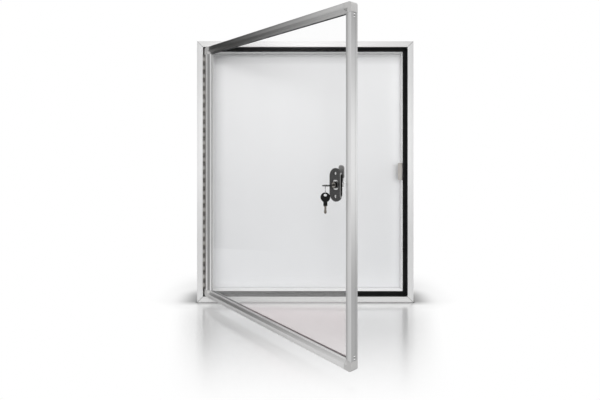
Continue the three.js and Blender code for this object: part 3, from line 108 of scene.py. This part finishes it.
class Paint:
    """Builds one node material step by step. Lengths are in metres, in the object's frame."""

    def __init__(self, name, world=False):
        self.material = (bpy.data.worlds if world else bpy.data.materials).new(name)
        self.material.use_nodes = True
        self.tree = self.material.node_tree
        self.tree.nodes.clear()

    def add(self, kind, inputs=(), **settings):
        node = self.tree.nodes.new("ShaderNode" + kind)
        for key, value in settings.items():
            setattr(node, key, value)
        for key, value in dict(inputs).items():
            socket = node.inputs[key]
            if isinstance(value, bpy.types.NodeSocket):
                self.tree.links.new(value, socket)
            else:
                socket.default_value = value
        return node

    def place(self, scale=(1, 1, 1), turn=0.0):
        """Coordinates fixed to the object, turned about the vertical and then scaled."""
        at = self.add("TexCoord").outputs["Object"]
        if turn:
            at = self.add("Mapping", {"Vector": at, "Rotation": (0, 0, turn)}).outputs[0]
        return self.add("Mapping", {"Vector": at, "Scale": scale}).outputs[0]

    def from_hinge(self):
        """Distance from the hinge pin along the door."""
        inputs = {0: self.place(), 1: (*HINGE_PIN, 0)}
        away = self.add("VectorMath", inputs, operation="SUBTRACT").outputs[0]
        ahead = (math.cos(DOOR_ANGLE), -math.sin(DOOR_ANGLE), 0)
        return self.add("VectorMath", {0: away, 1: ahead}, operation="DOT_PRODUCT").outputs["Value"]

    def noise(self, at, scale=1.0, detail=3.0, rough=0.5):
        inputs = {"Vector": at, "Scale": scale, "Detail": detail, "Roughness": rough}
        return self.add("TexNoise", inputs).outputs[0]

    def span(self, value, low, high, start=0.0, end=1.0, curve="LINEAR"):
        """Maps value from start..end to low..high, held at its ends."""
        inputs = {"Value": value, "From Min": start, "From Max": end}
        inputs.update({"To Min": low, "To Max": high})
        return self.add("MapRange", inputs, interpolation_type=curve).outputs[0]

    def mix(self, share, first, second):
        """Blends two colours. The numbers are the Mix node's sockets for colours."""
        inputs = {0: share, 6: first, 7: second}
        return self.add("Mix", inputs, data_type="RGBA").outputs[2]

    def sum(self, first, second=0.0, operation="ADD"):
        return self.add("Math", {0: first, 1: second}, operation=operation).outputs[0]

    def scaled(self, colour, tone):
        return self.add("VectorMath", {0: colour, "Scale": tone}, operation="SCALE").outputs[0]

    def off(self, value, middle=0.0):
        """How far a value is from the middle, either way."""
        return self.sum(self.sum(value, middle, "SUBTRACT"), operation="ABSOLUTE")

    def bump(self, height, depth, strength):
        """Turns a height of 0 to 1 into a relief this many metres deep."""
        inputs = {"Height": height, "Distance": depth, "Strength": strength}
        return self.add("Bump", inputs).outputs[0]

    def axis(self, at, name):
        return self.add("SeparateXYZ", {0: at}).outputs[name]

    def shown(self):
        """1 for rays that show a surface, also mirrored or through glass, and 0 for those that light."""
        path = self.add("LightPath").outputs
        seen = self.sum(path["Is Camera Ray"], path["Is Glossy Ray"], "MAXIMUM")
        return self.sum(seen, path["Is Transmission Ray"], "MAXIMUM")

    def finish(self, surface):
        self.add("OutputMaterial", {"Surface": surface})
        return self.material

    def principled(self, **inputs):
        named = {key.replace("_", " "): value for key, value in inputs.items()}
        return self.finish(self.add("BsdfPrincipled", named).outputs[0])


def grey(value, warmth=0.0):
    """A linear grey, a little warmer or cooler."""
    return (value * (1 + warmth), value, value * (1 - warmth), 1)


# ---------------------------------------------------------------- materials

def painted_sheen_band(front, side):
    """Painted highlight, palest at the middle of its height: front and side each go from a first tone to
    a second, painted lighter and darker for how light falls on each face.
    """

    def mark(p, colour, metal, share, cloud):
        middle = p.span(p.off(p.axis(p.place(), "Z"), PAINTED_SHEEN_Z), 1.0, 0.0, 0.03, 0.30, "SMOOTHSTEP")
        away = p.from_hinge()
        # Painted light: the side face gets its own tones, set apart from the front's for how light falls
        # on it
        on_side = p.span(away, 0.0, 1.0, DOOR_SIDE, DOOR_SIDE + 0.0006)
        low, high = (p.span(on_side, front[i], side[i]) for i in (0, 1))
        tone = p.sum(low, p.sum(p.sum(high, low, "SUBTRACT"), middle, "MULTIPLY"))
        # The bead is a little darker
        bead = p.span(p.off(away, LOCK_BEAD), 0.7, 1.0, 0.0023, 0.0033)
        tone = p.sum(tone, bead, "MULTIPLY")
        return p.sum(tone, p.span(share, 0.92, 1.08), "MULTIPLY"), metal

    return mark


def crossbar_painted_light(p, colour, metal, share, cloud):
    """Painted light: the case's top bar is painted palest at its middle, and its bottom bar painted
    paler towards the foot, lifting the shade there.
    """
    at = p.place()
    top = p.span(p.off(p.axis(at, "X"), -0.02), 1.38, 0.90, 0.05, 0.36)
    foot = p.span(p.axis(at, "Z"), 1.27, 0.93, -0.7685, -0.7580)
    upper = p.span(p.axis(at, "Z"), 0.0, 1.0, -0.40, -0.35)
    tone = p.sum(foot, p.sum(p.sum(top, foot, "SUBTRACT"), upper, "MULTIPLY"))
    return p.scaled(colour, tone), metal


def mitres_and_painted_walls(p, colour, metal, share, cloud):
    """Dark hairlines where the case's bars meet, and walls round the panel painted whiter and less
    metallic as painted light, the bottom wall greyer as painted shade.
    """
    at = p.place()
    across = p.sum(p.off(p.axis(at, "X")), CASE_HALF_WIDTH, "SUBTRACT")
    height = p.sum(p.off(p.axis(at, "Z"), CASE_MIDDLE_Z), CASE_HALF_HEIGHT, "SUBTRACT")
    joint = p.off(p.sum(across, height, "SUBTRACT"))
    colour = p.mix(p.span(joint, 1.0, 0.0, 0.0004, 0.0011), colour, grey(0.22))
    depth = p.off(p.axis(at, "Y"), WALL_MIDDLE_Y)
    depth = p.span(depth, 1.0, 0.0, WALL_HALF_DEPTH - 0.0002, WALL_HALF_DEPTH + 0.0002)
    inset = p.span(p.sum(across, height, "MAXIMUM"), 1.0, 0.0, -WALL_INSET - 0.0005, -WALL_INSET)
    wall = p.sum(depth, inset, "MULTIPLY")
    # Painted light on the walls: white, and greyer at the bottom as painted shade
    upper = p.span(p.axis(at, "Z"), 0.0, 1.0, BOTTOM_WALL_Z, BOTTOM_WALL_Z + 0.01)
    bottom_wall_painted_white = p.mix(cloud, grey(0.78), grey(0.84))
    white = p.mix(cloud, grey(0.92), grey(0.98))
    return p.mix(wall, colour, p.mix(upper, bottom_wall_painted_white, white)), p.span(wall, metal, 0.05)


def top_rail_painted_shade(p, colour, metal, share, cloud):
    """The door's top bar is painted paler towards the lock side, as painted reflection, and darker
    towards the glass, as painted shade.
    """
    painted_light_run = p.span(p.from_hinge(), 0.82, 1.04, 0.43, 0.57)
    bevel = p.span(p.axis(p.place(), "Z"), 1.0, 0.78, -0.012, -0.018)
    return p.scaled(colour, p.sum(painted_light_run, bevel, "MULTIPLY")), metal


def hinge_side_painted_light(p, colour, metal, share, cloud):
    """The hinge side's bevel painted dark, as painted shade, then the bead that holds the glass painted
    pale and scarcely metallic, as painted light.
    """
    away = p.from_hinge()
    bevel = p.span(p.off(away, HINGE_BEVEL), 0.9, 0.0, 0.0026, 0.0032)
    bead = p.span(away, 0.0, 1.0, HINGE_BEAD, HINGE_BEAD + 0.0005)
    painted_pale_bead = p.mix(cloud, grey(0.82), grey(0.92))
    return p.mix(bead, p.mix(bevel, colour, grey(0.16)), painted_pale_bead), p.span(bead, metal, 0.05)


def extrusion(name, along, light, dark, turn=0.0, metal=1.0, rough=0.34, marks=()):
    """Satin anodised aluminium, drawn into fine lines along its bar, which stretch its highlights.

    Each of the marks takes the colour and the share of metal and gives them back changed.
    """
    p = Paint(name)
    axis = "xyz".index(along)
    fine = [2600.0, 2600.0, 2600.0]
    fine[axis] = 6.0
    coarse = [420.0, 420.0, 420.0]
    coarse[axis] = 1.6
    lines = p.noise(p.place(fine, turn), detail=2)
    bands = p.noise(p.place(coarse, turn), detail=2)
    cloud = p.noise(p.place((9, 9, 9)), detail=4)
    share = p.sum(p.span(lines, 0.0, 0.45), p.span(bands, 0.0, 0.35))
    share = p.sum(share, p.span(cloud, 0.0, 0.25))
    colour = p.mix(share, grey(dark, 0.006), grey(light, 0.004))
    for mark in marks:
        colour, metal = mark(p, colour, metal, share, cloud)
    run = (math.cos(turn), -math.sin(turn), 0) if along == "x" else (0, 0, 1)
    bar = p.add("CombineXYZ", dict(enumerate(run))).outputs[0]
    to_world = {"vector_type": "VECTOR", "convert_from": "OBJECT", "convert_to": "WORLD"}
    return p.principled(
        Base_Color=colour,
        Metallic=metal,
        Roughness=p.span(share, rough + 0.06, rough - 0.06, 0.3, 0.75),
        Anisotropic=0.7,
        Anisotropic_Rotation=0.25,
        Tangent=p.add("VectorTransform", {0: bar}, **to_world).outputs[0],
        Normal=p.bump(lines, 0.00002, 0.6),
    )


def moulding(
    name, light, dark, warmth=0.0, rough=0.42, grain=1400.0, metal=0.0, depth=0.00003, specular=0.5
):
    """A cast or moulded surface with a fine even grain and a little cloudiness."""
    p = Paint(name)
    grainy = p.noise(p.place(), grain, 3)
    cloud = p.noise(p.place(), 60.0, 4)
    share = p.sum(p.span(grainy, 0.0, 0.4), p.span(cloud, 0.0, 0.6))
    return p.principled(
        Base_Color=p.mix(share, grey(dark, warmth), grey(light, warmth)),
        Metallic=metal,
        Specular_IOR_Level=specular,
        Roughness=p.span(share, rough + 0.08, rough - 0.08, 0.3, 0.7),
        Normal=p.bump(grainy, depth, 0.5),
    )


def plate_coat():
    """Satin black lock plate, with a painted highlight as a fine pale line along its free edge, and its
    side painted black with little shine, as painted shade.
    """
    p = Paint("lock_plate_coat")
    grain = p.noise(p.place(), 2600.0, 3)
    away = p.from_hinge()
    # Painted shade on the side face, and a painted highlight along the free edge
    side = p.span(away, 0.0, 1.0, PLATE_EDGE - 0.0007, PLATE_EDGE - 0.0004)
    glint_and_grain = p.span(p.off(away, PLATE_EDGE - 0.0016), 0.8, 0.0, 0.0003, 0.0009)
    front = p.mix(grain, grey(0.018), grey(0.030))
    colour = p.mix(glint_and_grain, p.mix(side, front, grey(0.003)), grey(0.32))
    return p.principled(
        Base_Color=colour,
        Specular_IOR_Level=p.span(side, 0.5, 0.04),
        Roughness=p.span(grain, 0.34, 0.18, 0.3, 0.7),
        Normal=p.bump(grain, 0.00002, 0.5),
    )


def panel_coat():
    """White coated sheet steel with a faint orange-peel skin. Its colour carries painted light: paler
    towards the top and the left, and a painted shadow under the top wall.
    """
    p = Paint("white_coated_steel")
    peel = p.noise(p.place(), 420.0, 2)
    fine = p.noise(p.place(), 2400.0, 2)
    cloud = p.span(p.noise(p.place(), 5.0, 3), -0.1, 0.1)
    at = p.place()
    across, height = p.axis(at, "X"), p.axis(at, "Z")
    # Painted light: paler towards the top
    high = p.sum(p.span(height, 0.02, 0.95, -0.66, -0.10), cloud)
    # Painted light: paler towards the left, and painted lighter at the left edge against its shade
    tone = p.sum(p.span(across, 1.05, 0.95, -0.25, 0.30), p.span(across, 0.14, 0.0, -0.285, -0.250))
    # A painted shadow under the top wall
    tone = p.sum(tone, p.span(height, 1.0, 0.71, PANEL_TOP_Z - 0.03, PANEL_TOP_Z), "MULTIPLY")
    # At the groove that painted shadow is painted back out, lighter
    groove = p.span(height, 1.0, 1.35, PANEL_TOP_Z - 0.0035, PANEL_TOP_Z + 0.0005)
    tone = p.sum(tone, groove, "MULTIPLY")
    white = p.mix(high, (0.715, 0.722, 0.733, 1), (0.905, 0.908, 0.914, 1))
    return p.principled(
        Base_Color=p.scaled(white, tone),
        Roughness=p.span(fine, 0.34, 0.44),
        Normal=p.bump(peel, 0.00002, 0.35),
        Coat_Weight=0.15,
        Coat_Roughness=0.2,
    )


def rubber(name, dark, light, painted_light_at_hinge=False):
    """Soft rubber, dusty on its crowns."""
    p = Paint(name)
    pores = p.noise(p.place(), 2200.0, 3)
    dust = p.noise(p.place(), 40.0, 5)
    colour = p.mix(p.span(dust, 0.0, 1.0, 0.4, 0.75), grey(dark, -0.03), grey(light, -0.02))
    if painted_light_at_hinge:
        # Painted light: the seal's run at the hinge side is painted pale grey
        pale = p.span(p.from_hinge(), 1.0, 0.0, HINGE_GLASS, HINGE_GLASS + 0.006)
        colour = p.mix(pale, colour, grey(0.62))
    return p.principled(
        Base_Color=colour,
        Roughness=p.span(pores, 0.5, 0.72),
        Specular_IOR_Level=0.2,
        Normal=p.bump(pores, 0.00004, 0.5),
    )


def hinge_finish():
    """Rolled nickel-plated strip. Each knuckle has its own tone, with a painted highlight at its middle
    and painted shade towards its ends.
    """
    p = Paint("hinge_nickel")
    height = p.sum(p.axis(p.place(), "Z"), CASE_MIDDLE_Z, "SUBTRACT")
    step = p.sum(height, KNUCKLE_PITCH, "DIVIDE")
    number = p.sum(step, operation="FLOOR")
    tone = p.add("TexWhiteNoise", {"W": number}, noise_dimensions="1D").outputs["Value"]
    off_middle = p.off(p.sum(step, operation="FRACT"), 0.5)
    middle = p.span(off_middle, 1.0, 0.0, 0.08, 0.36, "SMOOTHSTEP")
    brushed = p.noise(p.place((1800, 1800, 60)), detail=2)
    stain = p.noise(p.place(), 90.0, 4)
    share = p.sum(p.span(tone, 0.0, 0.15), p.span(brushed, 0.0, 0.15))
    share = p.sum(share, p.span(stain, -0.1, 0.15))
    # Painted highlight at the middle of each knuckle, and painted shade towards its ends
    share = p.sum(share, p.sum(middle, 0.6, "MULTIPLY"))
    return p.principled(
        Base_Color=p.mix(share, (0.06, 0.058, 0.055, 1), (0.46, 0.445, 0.425, 1)),
        Metallic=1.0,
        Roughness=p.span(share, 0.46, 0.3),
        Normal=p.bump(brushed, 0.00002, 0.5),
    )


def plated(name, light, dark, warmth=0.0, rough=0.25):
    """Bright plated metal with light handling scratches."""
    p = Paint(name)
    scratches = p.noise(p.place((700, 56, 350), 0.6), detail=5, rough=0.7)
    cloud = p.noise(p.place(), 160.0, 3)
    share = p.sum(p.span(scratches, 0.0, 0.55), p.span(cloud, 0.0, 0.45))
    return p.principled(
        Base_Color=p.mix(share, grey(dark, warmth), grey(light, warmth)),
        Metallic=1.0,
        Roughness=p.span(share, rough + 0.1, rough - 0.07, 0.3, 0.7),
        Normal=p.bump(scratches, 0.00001, 0.4),
    )


def corner_screw_finish():
    """Countersunk heads painted dark, as painted shade, each with a painted highlight as a bright bar
    across its middle.
    """
    p = Paint("corner_screw_steel")
    glint_and_grain = p.noise(p.place(), 1500.0, 3)
    height = p.off(p.axis(p.place(), "Z"), CASE_MIDDLE_Z)
    # Painted highlights: a bright bar across each head's middle
    painted_highlights = [p.span(p.off(height, at), 1.0, 0.0, 0.0009, 0.0015) for at in CORNER_SCREWS]
    share = p.sum(p.sum(*painted_highlights, "MAXIMUM"), p.span(glint_and_grain, 0.9, 1.0), "MULTIPLY")
    return p.principled(
        Base_Color=p.mix(share, grey(0.06), grey(0.96)),
        Metallic=1.0,
        Roughness=p.span(glint_and_grain, 0.34, 0.2),
        Normal=p.bump(glint_and_grain, 0.00001, 0.4),
    )


def cylinder_finish():
    """Cylinder painted near black, as painted shade for the lock's dark recess, with a bright nickel
    flange at its foot.
    """
    p = Paint("cylinder_chrome")
    depth = p.axis(p.place(turn=DOOR_ANGLE), "Y")
    flange = p.span(depth, 0.0, 1.0, FLANGE_AT - 0.0001, FLANGE_AT + 0.0001)
    turned = p.noise(p.place((900, 900, 900), DOOR_ANGLE), detail=4)
    # Painted shade: the cylinder's body is near black
    black = p.mix(turned, grey(0.022), grey(0.05))
    bright = p.mix(turned, grey(0.5), grey(0.78))
    return p.principled(
        Base_Color=p.mix(flange, black, bright),
        Metallic=1.0,
        Roughness=p.span(turned, 0.3, 0.18),
        Normal=p.bump(turned, 0.00001, 0.4),
    )


def pane():
    """Clear float glass with a mirror film that grows at grazing angles.

    A thin haze low down is neutral in front of the case, and warm where the photo shows the floor.
    """
    p = Paint("clear_glass")
    rising = p.sum(p.from_hinge(), FOOT_CLIMB, "MULTIPLY")
    height = p.sum(p.axis(p.place(), "Z"), rising, "SUBTRACT")
    low = p.span(height, 1.0, 0.0, -0.785, -0.695, "SMOOTHSTEP")
    warm = p.span(height, 1.0, 0.0, -0.800, -0.765, "SMOOTHSTEP")
    wipe = p.noise(p.place((14, 14, 3)), detail=4)
    depth = p.span(height, 0.11, 0.17, -0.89, -0.80)
    veil = p.sum(p.sum(low, depth, "MULTIPLY"), p.span(wipe, 0.0, 0.006, 0.35, 0.8))
    clear = p.add("BsdfTransparent", {"Color": (0.99, 0.99, 0.99, 1)}).outputs[0]
    rosy = p.mix(wipe, (0.76, 0.60, 0.61, 1), (0.82, 0.66, 0.67, 1))
    haze = p.mix(warm, p.mix(wipe, grey(0.86), grey(0.92)), rosy)
    haze = p.add("BsdfDiffuse", {"Color": haze}).outputs[0]
    body = p.add("MixShader", {0: veil, 1: clear, 2: haze}).outputs[0]
    mirror = {"Color": (1, 1, 1, 1), "Roughness": p.span(wipe, 0.01, 0.04)}
    gloss = p.add("BsdfGlossy", mirror).outputs[0]
    slant = p.add("LayerWeight", {"Blend": 0.5}).outputs["Facing"]
    film = p.span(p.sum(slant, 5.0, "POWER"), 0.002, 0.7)
    return p.finish(p.add("MixShader", {0: film, 1: body, 2: gloss}).outputs[0])


# The bars are one anodised aluminium in lit and shaded copies: each bar's own tones and share of metal
# are painted light and shade for how light falls on it
case_across = extrusion(
    "case_silver_across", "x", 0.75, 0.63, metal=0.4, marks=(crossbar_painted_light, mitres_and_painted_walls)
)
even_painted_sheen = painted_sheen_band((0.66, 0.79), (0.66, 0.79))
case_upright = extrusion(
    "case_silver_upright", "z", 0.95, 0.62, metal=0.35, marks=(even_painted_sheen, mitres_and_painted_walls)
)
door_silver = partial(extrusion, rough=0.32)
door_top = door_silver(
    "door_silver_top", "x", 0.62, 0.47, DOOR_ANGLE, metal=0.92, marks=(top_rail_painted_shade,)
)
door_bottom = door_silver("door_silver_bottom", "x", 0.75, 0.60, DOOR_ANGLE, metal=0.8)
side_painted_sheen = painted_sheen_band((0.57, 0.71), (0.41, 0.78))
lock_stile = door_silver("door_silver_lock_side", "z", 0.7, 0.5, metal=0.92, marks=(side_painted_sheen,))
hinge_stile = door_silver(
    "door_silver_hinge_side", "z", 0.92, 0.82, metal=0.35, marks=(hinge_side_painted_light,)
)
corner_plastic = moulding("corner_grey", 0.53, 0.45, 0.01)
key_corner = moulding("corner_key_zinc", 0.5, 0.4, metal=1.0)
coated_white = panel_coat()
black_rubber = rubber("seal_rubber", 0.005, 0.011)
grey_rubber = rubber("glazing_rubber", 0.15, 0.21, painted_light_at_hinge=True)
nickel_strip = hinge_finish()
screw_steel = plated("screw_steel", 0.62, 0.42, rough=0.28)
corner_screw = corner_screw_finish()
strike_steel = moulding("strike_zinc_plate", 0.50, 0.38, 0.05, rough=0.34, metal=1.0, grain=900.0)
lock_black = moulding("lock_black_coat", 0.030, 0.018, rough=0.26, grain=2600.0, depth=0.00002)
lock_screw = plated("lock_screw_bright", 0.7, 0.5, rough=0.22)
cam_grey = moulding("cam_cast_grey", 0.29, 0.21, 0.01, rough=0.4, metal=0.6)
bright_nickel = plated("bright_nickel", 0.78, 0.6, rough=0.17)
ring_nickel = plated("ring_nickel", 0.62, 0.35, rough=0.2)
key_plastic = moulding(
    "key_head_black", 0.008, 0.004, rough=0.2, grain=3000.0, depth=0.00001, specular=0.1
)
key_metal = plated("key_blade_bronze", 0.20, 0.11, 0.12, rough=0.26)
cylinder_chrome = cylinder_finish()
plug_nickel = plated("plug_dark_nickel", 0.30, 0.16, 0.06, rough=0.24)
glass = pane()


# ------------------------------------------------------- pieces on the frame

def finished(node, material, edge=0.0, sharp=32.0, slim=0.0):
    """A welded copy of a CAD node with softened edges and smooth curves, which stands for it.

    Edges over sharp degrees are rounded by edge, and slim draws the skin in, both in metres.
    """
    source = nodes[node]
    mesh = source.data.copy()
    shape = bmesh.new()
    shape.from_mesh(mesh)
    bmesh.ops.remove_doubles(shape, verts=shape.verts, dist=2e-6)
    bmesh.ops.dissolve_limit(
        shape,
        angle_limit=math.radians(0.6),
        verts=shape.verts,
        edges=shape.edges,
        use_dissolve_boundaries=False,
    )
    if slim:
        shape.normal_update()
        for corner in shape.verts:
            corner.co -= corner.normal * slim
    for face in shape.faces:
        face.smooth = True
    for line in shape.edges:
        if line.is_manifold and line.calc_face_angle() > math.radians(sharp):
            line.smooth = False
    shape.to_mesh(mesh)
    shape.free()
    mesh.materials.clear()
    mesh.materials.append(material)
    piece = bpy.data.objects.new(node + ".finished", mesh)
    bpy.context.scene.collection.objects.link(piece)
    if edge:
        soft = piece.modifiers.new("soft_edges", "BEVEL")
        soft.width = edge
        soft.segments = 2
        soft.limit_method = "ANGLE"
        soft.angle_limit = math.radians(sharp)
        soft.harden_normals = True
        soft.miter_outer = "MITER_ARC"
    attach(piece, source["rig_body"])
    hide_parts(node)


def repaint(node, material):
    """A CAD node that stays, with its own finish."""
    materials = nodes[node].data.materials
    for i in range(len(materials)):
        materials[i] = material
    if not materials:
        materials.append(material)


finishes = {
    "case_rail_top": (case_across, 0.0005),
    "case_rail_bottom": (case_across, 0.0005),
    "case_rail_left": (case_upright, 0.0005),
    "case_rail_right": (case_upright, 0.0005),
    "rebate_seal": (black_rubber, 0.0003),
    "strike": (strike_steel, 0.0002),
    "hinge_leaf_case": (nickel_strip, 0.0),
    "hinge_leaf_door": (nickel_strip, 0.0),
    "hinge_pin": (bright_nickel, 0.0002),
    "door_rail_hinge_side": (hinge_stile, 0.0003),
    "door_rail_lock_side": (lock_stile, 0.0003),
    "door_rail_top": (door_top, 0.0003),
    "door_rail_bottom": (door_bottom, 0.0003),
    "glazing_seal": (grey_rubber, 0.0002),
    "lock_plate": (plate_coat(), 0.0003),
    "lock_rear_plate": (lock_black, 0.0003),
    "lock_housing": (cylinder_chrome, 0.0002),
    "lock_circlip": (screw_steel, 0.0),
    "lock_plug": (plug_nickel, 0.0002),
    "lock_cam": (cam_grey, 0.0003),
    "cam_nut": (bright_nickel, 0.0003),
    "key_head": (key_plastic, 0.0, 32.0, 0.0001),
    "key_blade": (key_metal, 0.0001),
    "key_ring": (ring_nickel, 0.0, 32.0, 0.00008),
    "spare_key_head": (key_plastic, 0.0, 32.0, 0.0001),
    "spare_key_blade": (key_metal, 0.0001),
}
for node in nodes:
    if node.startswith("corner_key_"):
        finishes[node] = (key_corner, 0.0003)
    elif node.startswith("corner_block_"):
        finishes[node] = (corner_plastic, 0.0004)
    elif node.startswith("lock_screw_"):
        finishes[node] = (lock_screw, 0.0002)
    elif node.startswith("corner_screw_"):
        finishes[node] = (corner_screw, 0.00015)
    elif "screw" in node:
        finishes[node] = (screw_steel, 0.00015)

for node, looks in finishes.items():
    finished(node, *looks)
repaint("back_panel", coated_white)
repaint("glass_pane", glass)


# ------------------------------------------------------ floor, light, camera

def floor_paint():
    """Glossy white floor that keeps the shadow and the reflection round the case's foot, with a painted
    shadow added there.
    """
    p = Paint("floor_white")
    at = p.place()
    x = p.off(p.axis(at, "X"))
    y = p.axis(at, "Y")
    # How far a point of the floor lies from the case's foot
    aside = p.sum(p.sum(x, CASE_HALF_WIDTH, "SUBTRACT"), operation="MAXIMUM")
    off_middle = p.off(y, -CASE_DEPTH / 2)
    beyond = p.sum(p.sum(off_middle, CASE_DEPTH / 2, "SUBTRACT"), operation="MAXIMUM")
    gap = p.add("CombineXYZ", {0: aside, 1: beyond}).outputs[0]
    gap = p.add("VectorMath", {0: gap}, operation="LENGTH").outputs["Value"]
    # Painted shadow: dark at the foot, then painted paler than the floor, and darker again beside and
    # behind the case
    painted_contact_shadow = p.span(gap, 0.42, 1.0, 0.0, 0.008)
    foot = p.sum(painted_contact_shadow, p.span(gap, 1.12, 1.0, 0.03, 0.14), "MULTIPLY")
    near = p.span(gap, 1.0, 0.0, 0.0, 0.09, "SMOOTHSTEP")
    behind = p.sum(p.span(y, 0.0, 0.62, -0.085, -0.05), near, "MULTIPLY")
    foot = p.sum(foot, p.sum(1.0, behind, "SUBTRACT"), "MULTIPLY")
    # The floor's colour carries the painted shadow
    cloud = p.sum(p.span(p.noise(at, 3.0, 2), 0.79, 0.81), foot, "MULTIPLY")
    lit = p.add("BsdfDiffuse", {"Color": cloud}).outputs[0]
    seen = p.shown()
    topped = p.sum(p.sum(seen, 0.10, "MULTIPLY"), foot, "MULTIPLY")
    topped = p.add("Emission", {"Color": (1, 1, 1, 1), "Strength": topped}).outputs[0]
    base = p.add("AddShader", {0: lit, 1: topped}).outputs[0]
    # The painted shadow darkens the floor's reflection there too
    mirror = p.sum(foot, 0.86, "MULTIPLY")
    gloss = p.add("BsdfGlossy", {"Color": mirror, "Roughness": 0.18}).outputs[0]
    floor_near = p.add("MixShader", {0: 0.45, 1: base, 2: gloss}).outputs[0]
    white = p.add("Emission", {"Color": (1, 1, 1, 1), "Strength": seen}).outputs[0]
    # In front of the case the grey narrows with distance, and its edge is sharper
    edge = p.span(y, 0.189, 0.318, -0.60, -0.06)
    fade = p.span(y, 0.085, 0.16, -0.12, -0.045)
    kept = p.span(p.sum(x, edge, "SUBTRACT"), 1.0, 0.0, 0.0, fade, "SMOOTHSTEP")
    kept = p.sum(kept, p.span(y, 0.0, 1.0, -0.64, -0.24, "SMOOTHSTEP"), "MULTIPLY")
    kept = p.sum(kept, p.span(y, 1.0, 0.0, 0.03, 0.30, "SMOOTHSTEP"), "MULTIPLY")
    return p.finish(p.add("MixShader", {0: kept, 1: white, 2: floor_near}).outputs[0])


def sheet(name, corners, material):
    """A flat four-cornered piece of the set."""
    mesh = bpy.data.meshes.new(name)
    mesh.from_pydata(corners, [], [(0, 1, 2, 3)])
    mesh.materials.append(material)
    piece = bpy.data.objects.new(name, mesh)
    bpy.context.scene.collection.objects.link(piece)
    return piece


def studio():
    """White surroundings for the camera and for what metal and glass mirror; dimmer as a lamp."""
    p = Paint("studio", world=True)
    seen = p.shown()
    lamp = p.add("Background", {"Color": (1, 1, 1, 1), "Strength": 0.66}).outputs[0]
    shown = p.add("Background", {"Color": (1, 1, 1, 1), "Strength": 1.0}).outputs[0]
    p.add("OutputWorld", {"Surface": p.add("MixShader", {0: seen, 1: lamp, 2: shown}).outputs[0]})
    return p.material


def graded_paint():
    """Black at the card's back edge to white at its front."""
    p = Paint("graded_card")
    at = p.place()
    shade = p.sum(p.axis(at, "Y"), p.span(p.noise(at, 3.0, 2), -0.02, 0.02))
    strength = p.span(shade, 0.92, 0.01, -0.24, 0.07)
    return p.finish(p.add("Emission", {"Color": (1, 1, 1, 1), "Strength": strength}).outputs[0])


around = ((-1, -1), (1, -1), (1, 1), (-1, 1))
floor_corners = [(x * FLOOR_REACH, y * FLOOR_REACH, FLOOR_Z) for x, y in around]
sheet("floor", floor_corners, floor_paint())

card_corners = [
    (CARD_X, CARD_FRONT, CARD_FOOT),
    (CARD_X, CARD_BACK, CARD_FOOT),
    (CARD_X, CARD_BACK, CARD_HEAD),
    (CARD_X, CARD_FRONT, CARD_HEAD),
]
card = sheet("graded_card", card_corners, graded_paint())
for ray in ("camera", "diffuse", "shadow", "transmission"):
    setattr(card, "visible_" + ray, False)

bpy.context.scene.world = studio()


def softbox(name, at, width, height, watts):
    """A lamp that shows neither to the camera nor in metal and glass."""
    light = bpy.data.lights.new(name, "AREA")
    light.shape = "RECTANGLE"
    light.size = width
    light.size_y = height
    light.energy = watts
    lamp = bpy.data.objects.new(name, light)
    lamp.location = at
    lamp.visible_camera = False
    lamp.visible_glossy = False
    lamp.rotation_euler = (Vector(LIGHT_AIM) - Vector(at)).to_track_quat("-Z", "Y").to_euler()
    bpy.context.scene.collection.objects.link(lamp)


softbox("key_softbox", (-0.50, -2.9, 0.20), 1.5, 1.3, 33)
softbox("fill_softbox", (0.55, -2.9, 0.10), 1.3, 1.3, 26)

view = bpy.data.cameras.new("photo_view")
view.sensor_width = 36.0
view.lens = 28.11
view.shift_y = -0.0964
view.clip_start = 0.05
camera = bpy.data.objects.new("photo_view", view)
camera.location = CAMERA_AT
camera.rotation_euler = (math.radians(90), 0, 0)
bpy.context.scene.collection.objects.link(camera)
bpy.context.scene.camera = camera
bpy.context.scene.view_settings.view_transform = "Standard"
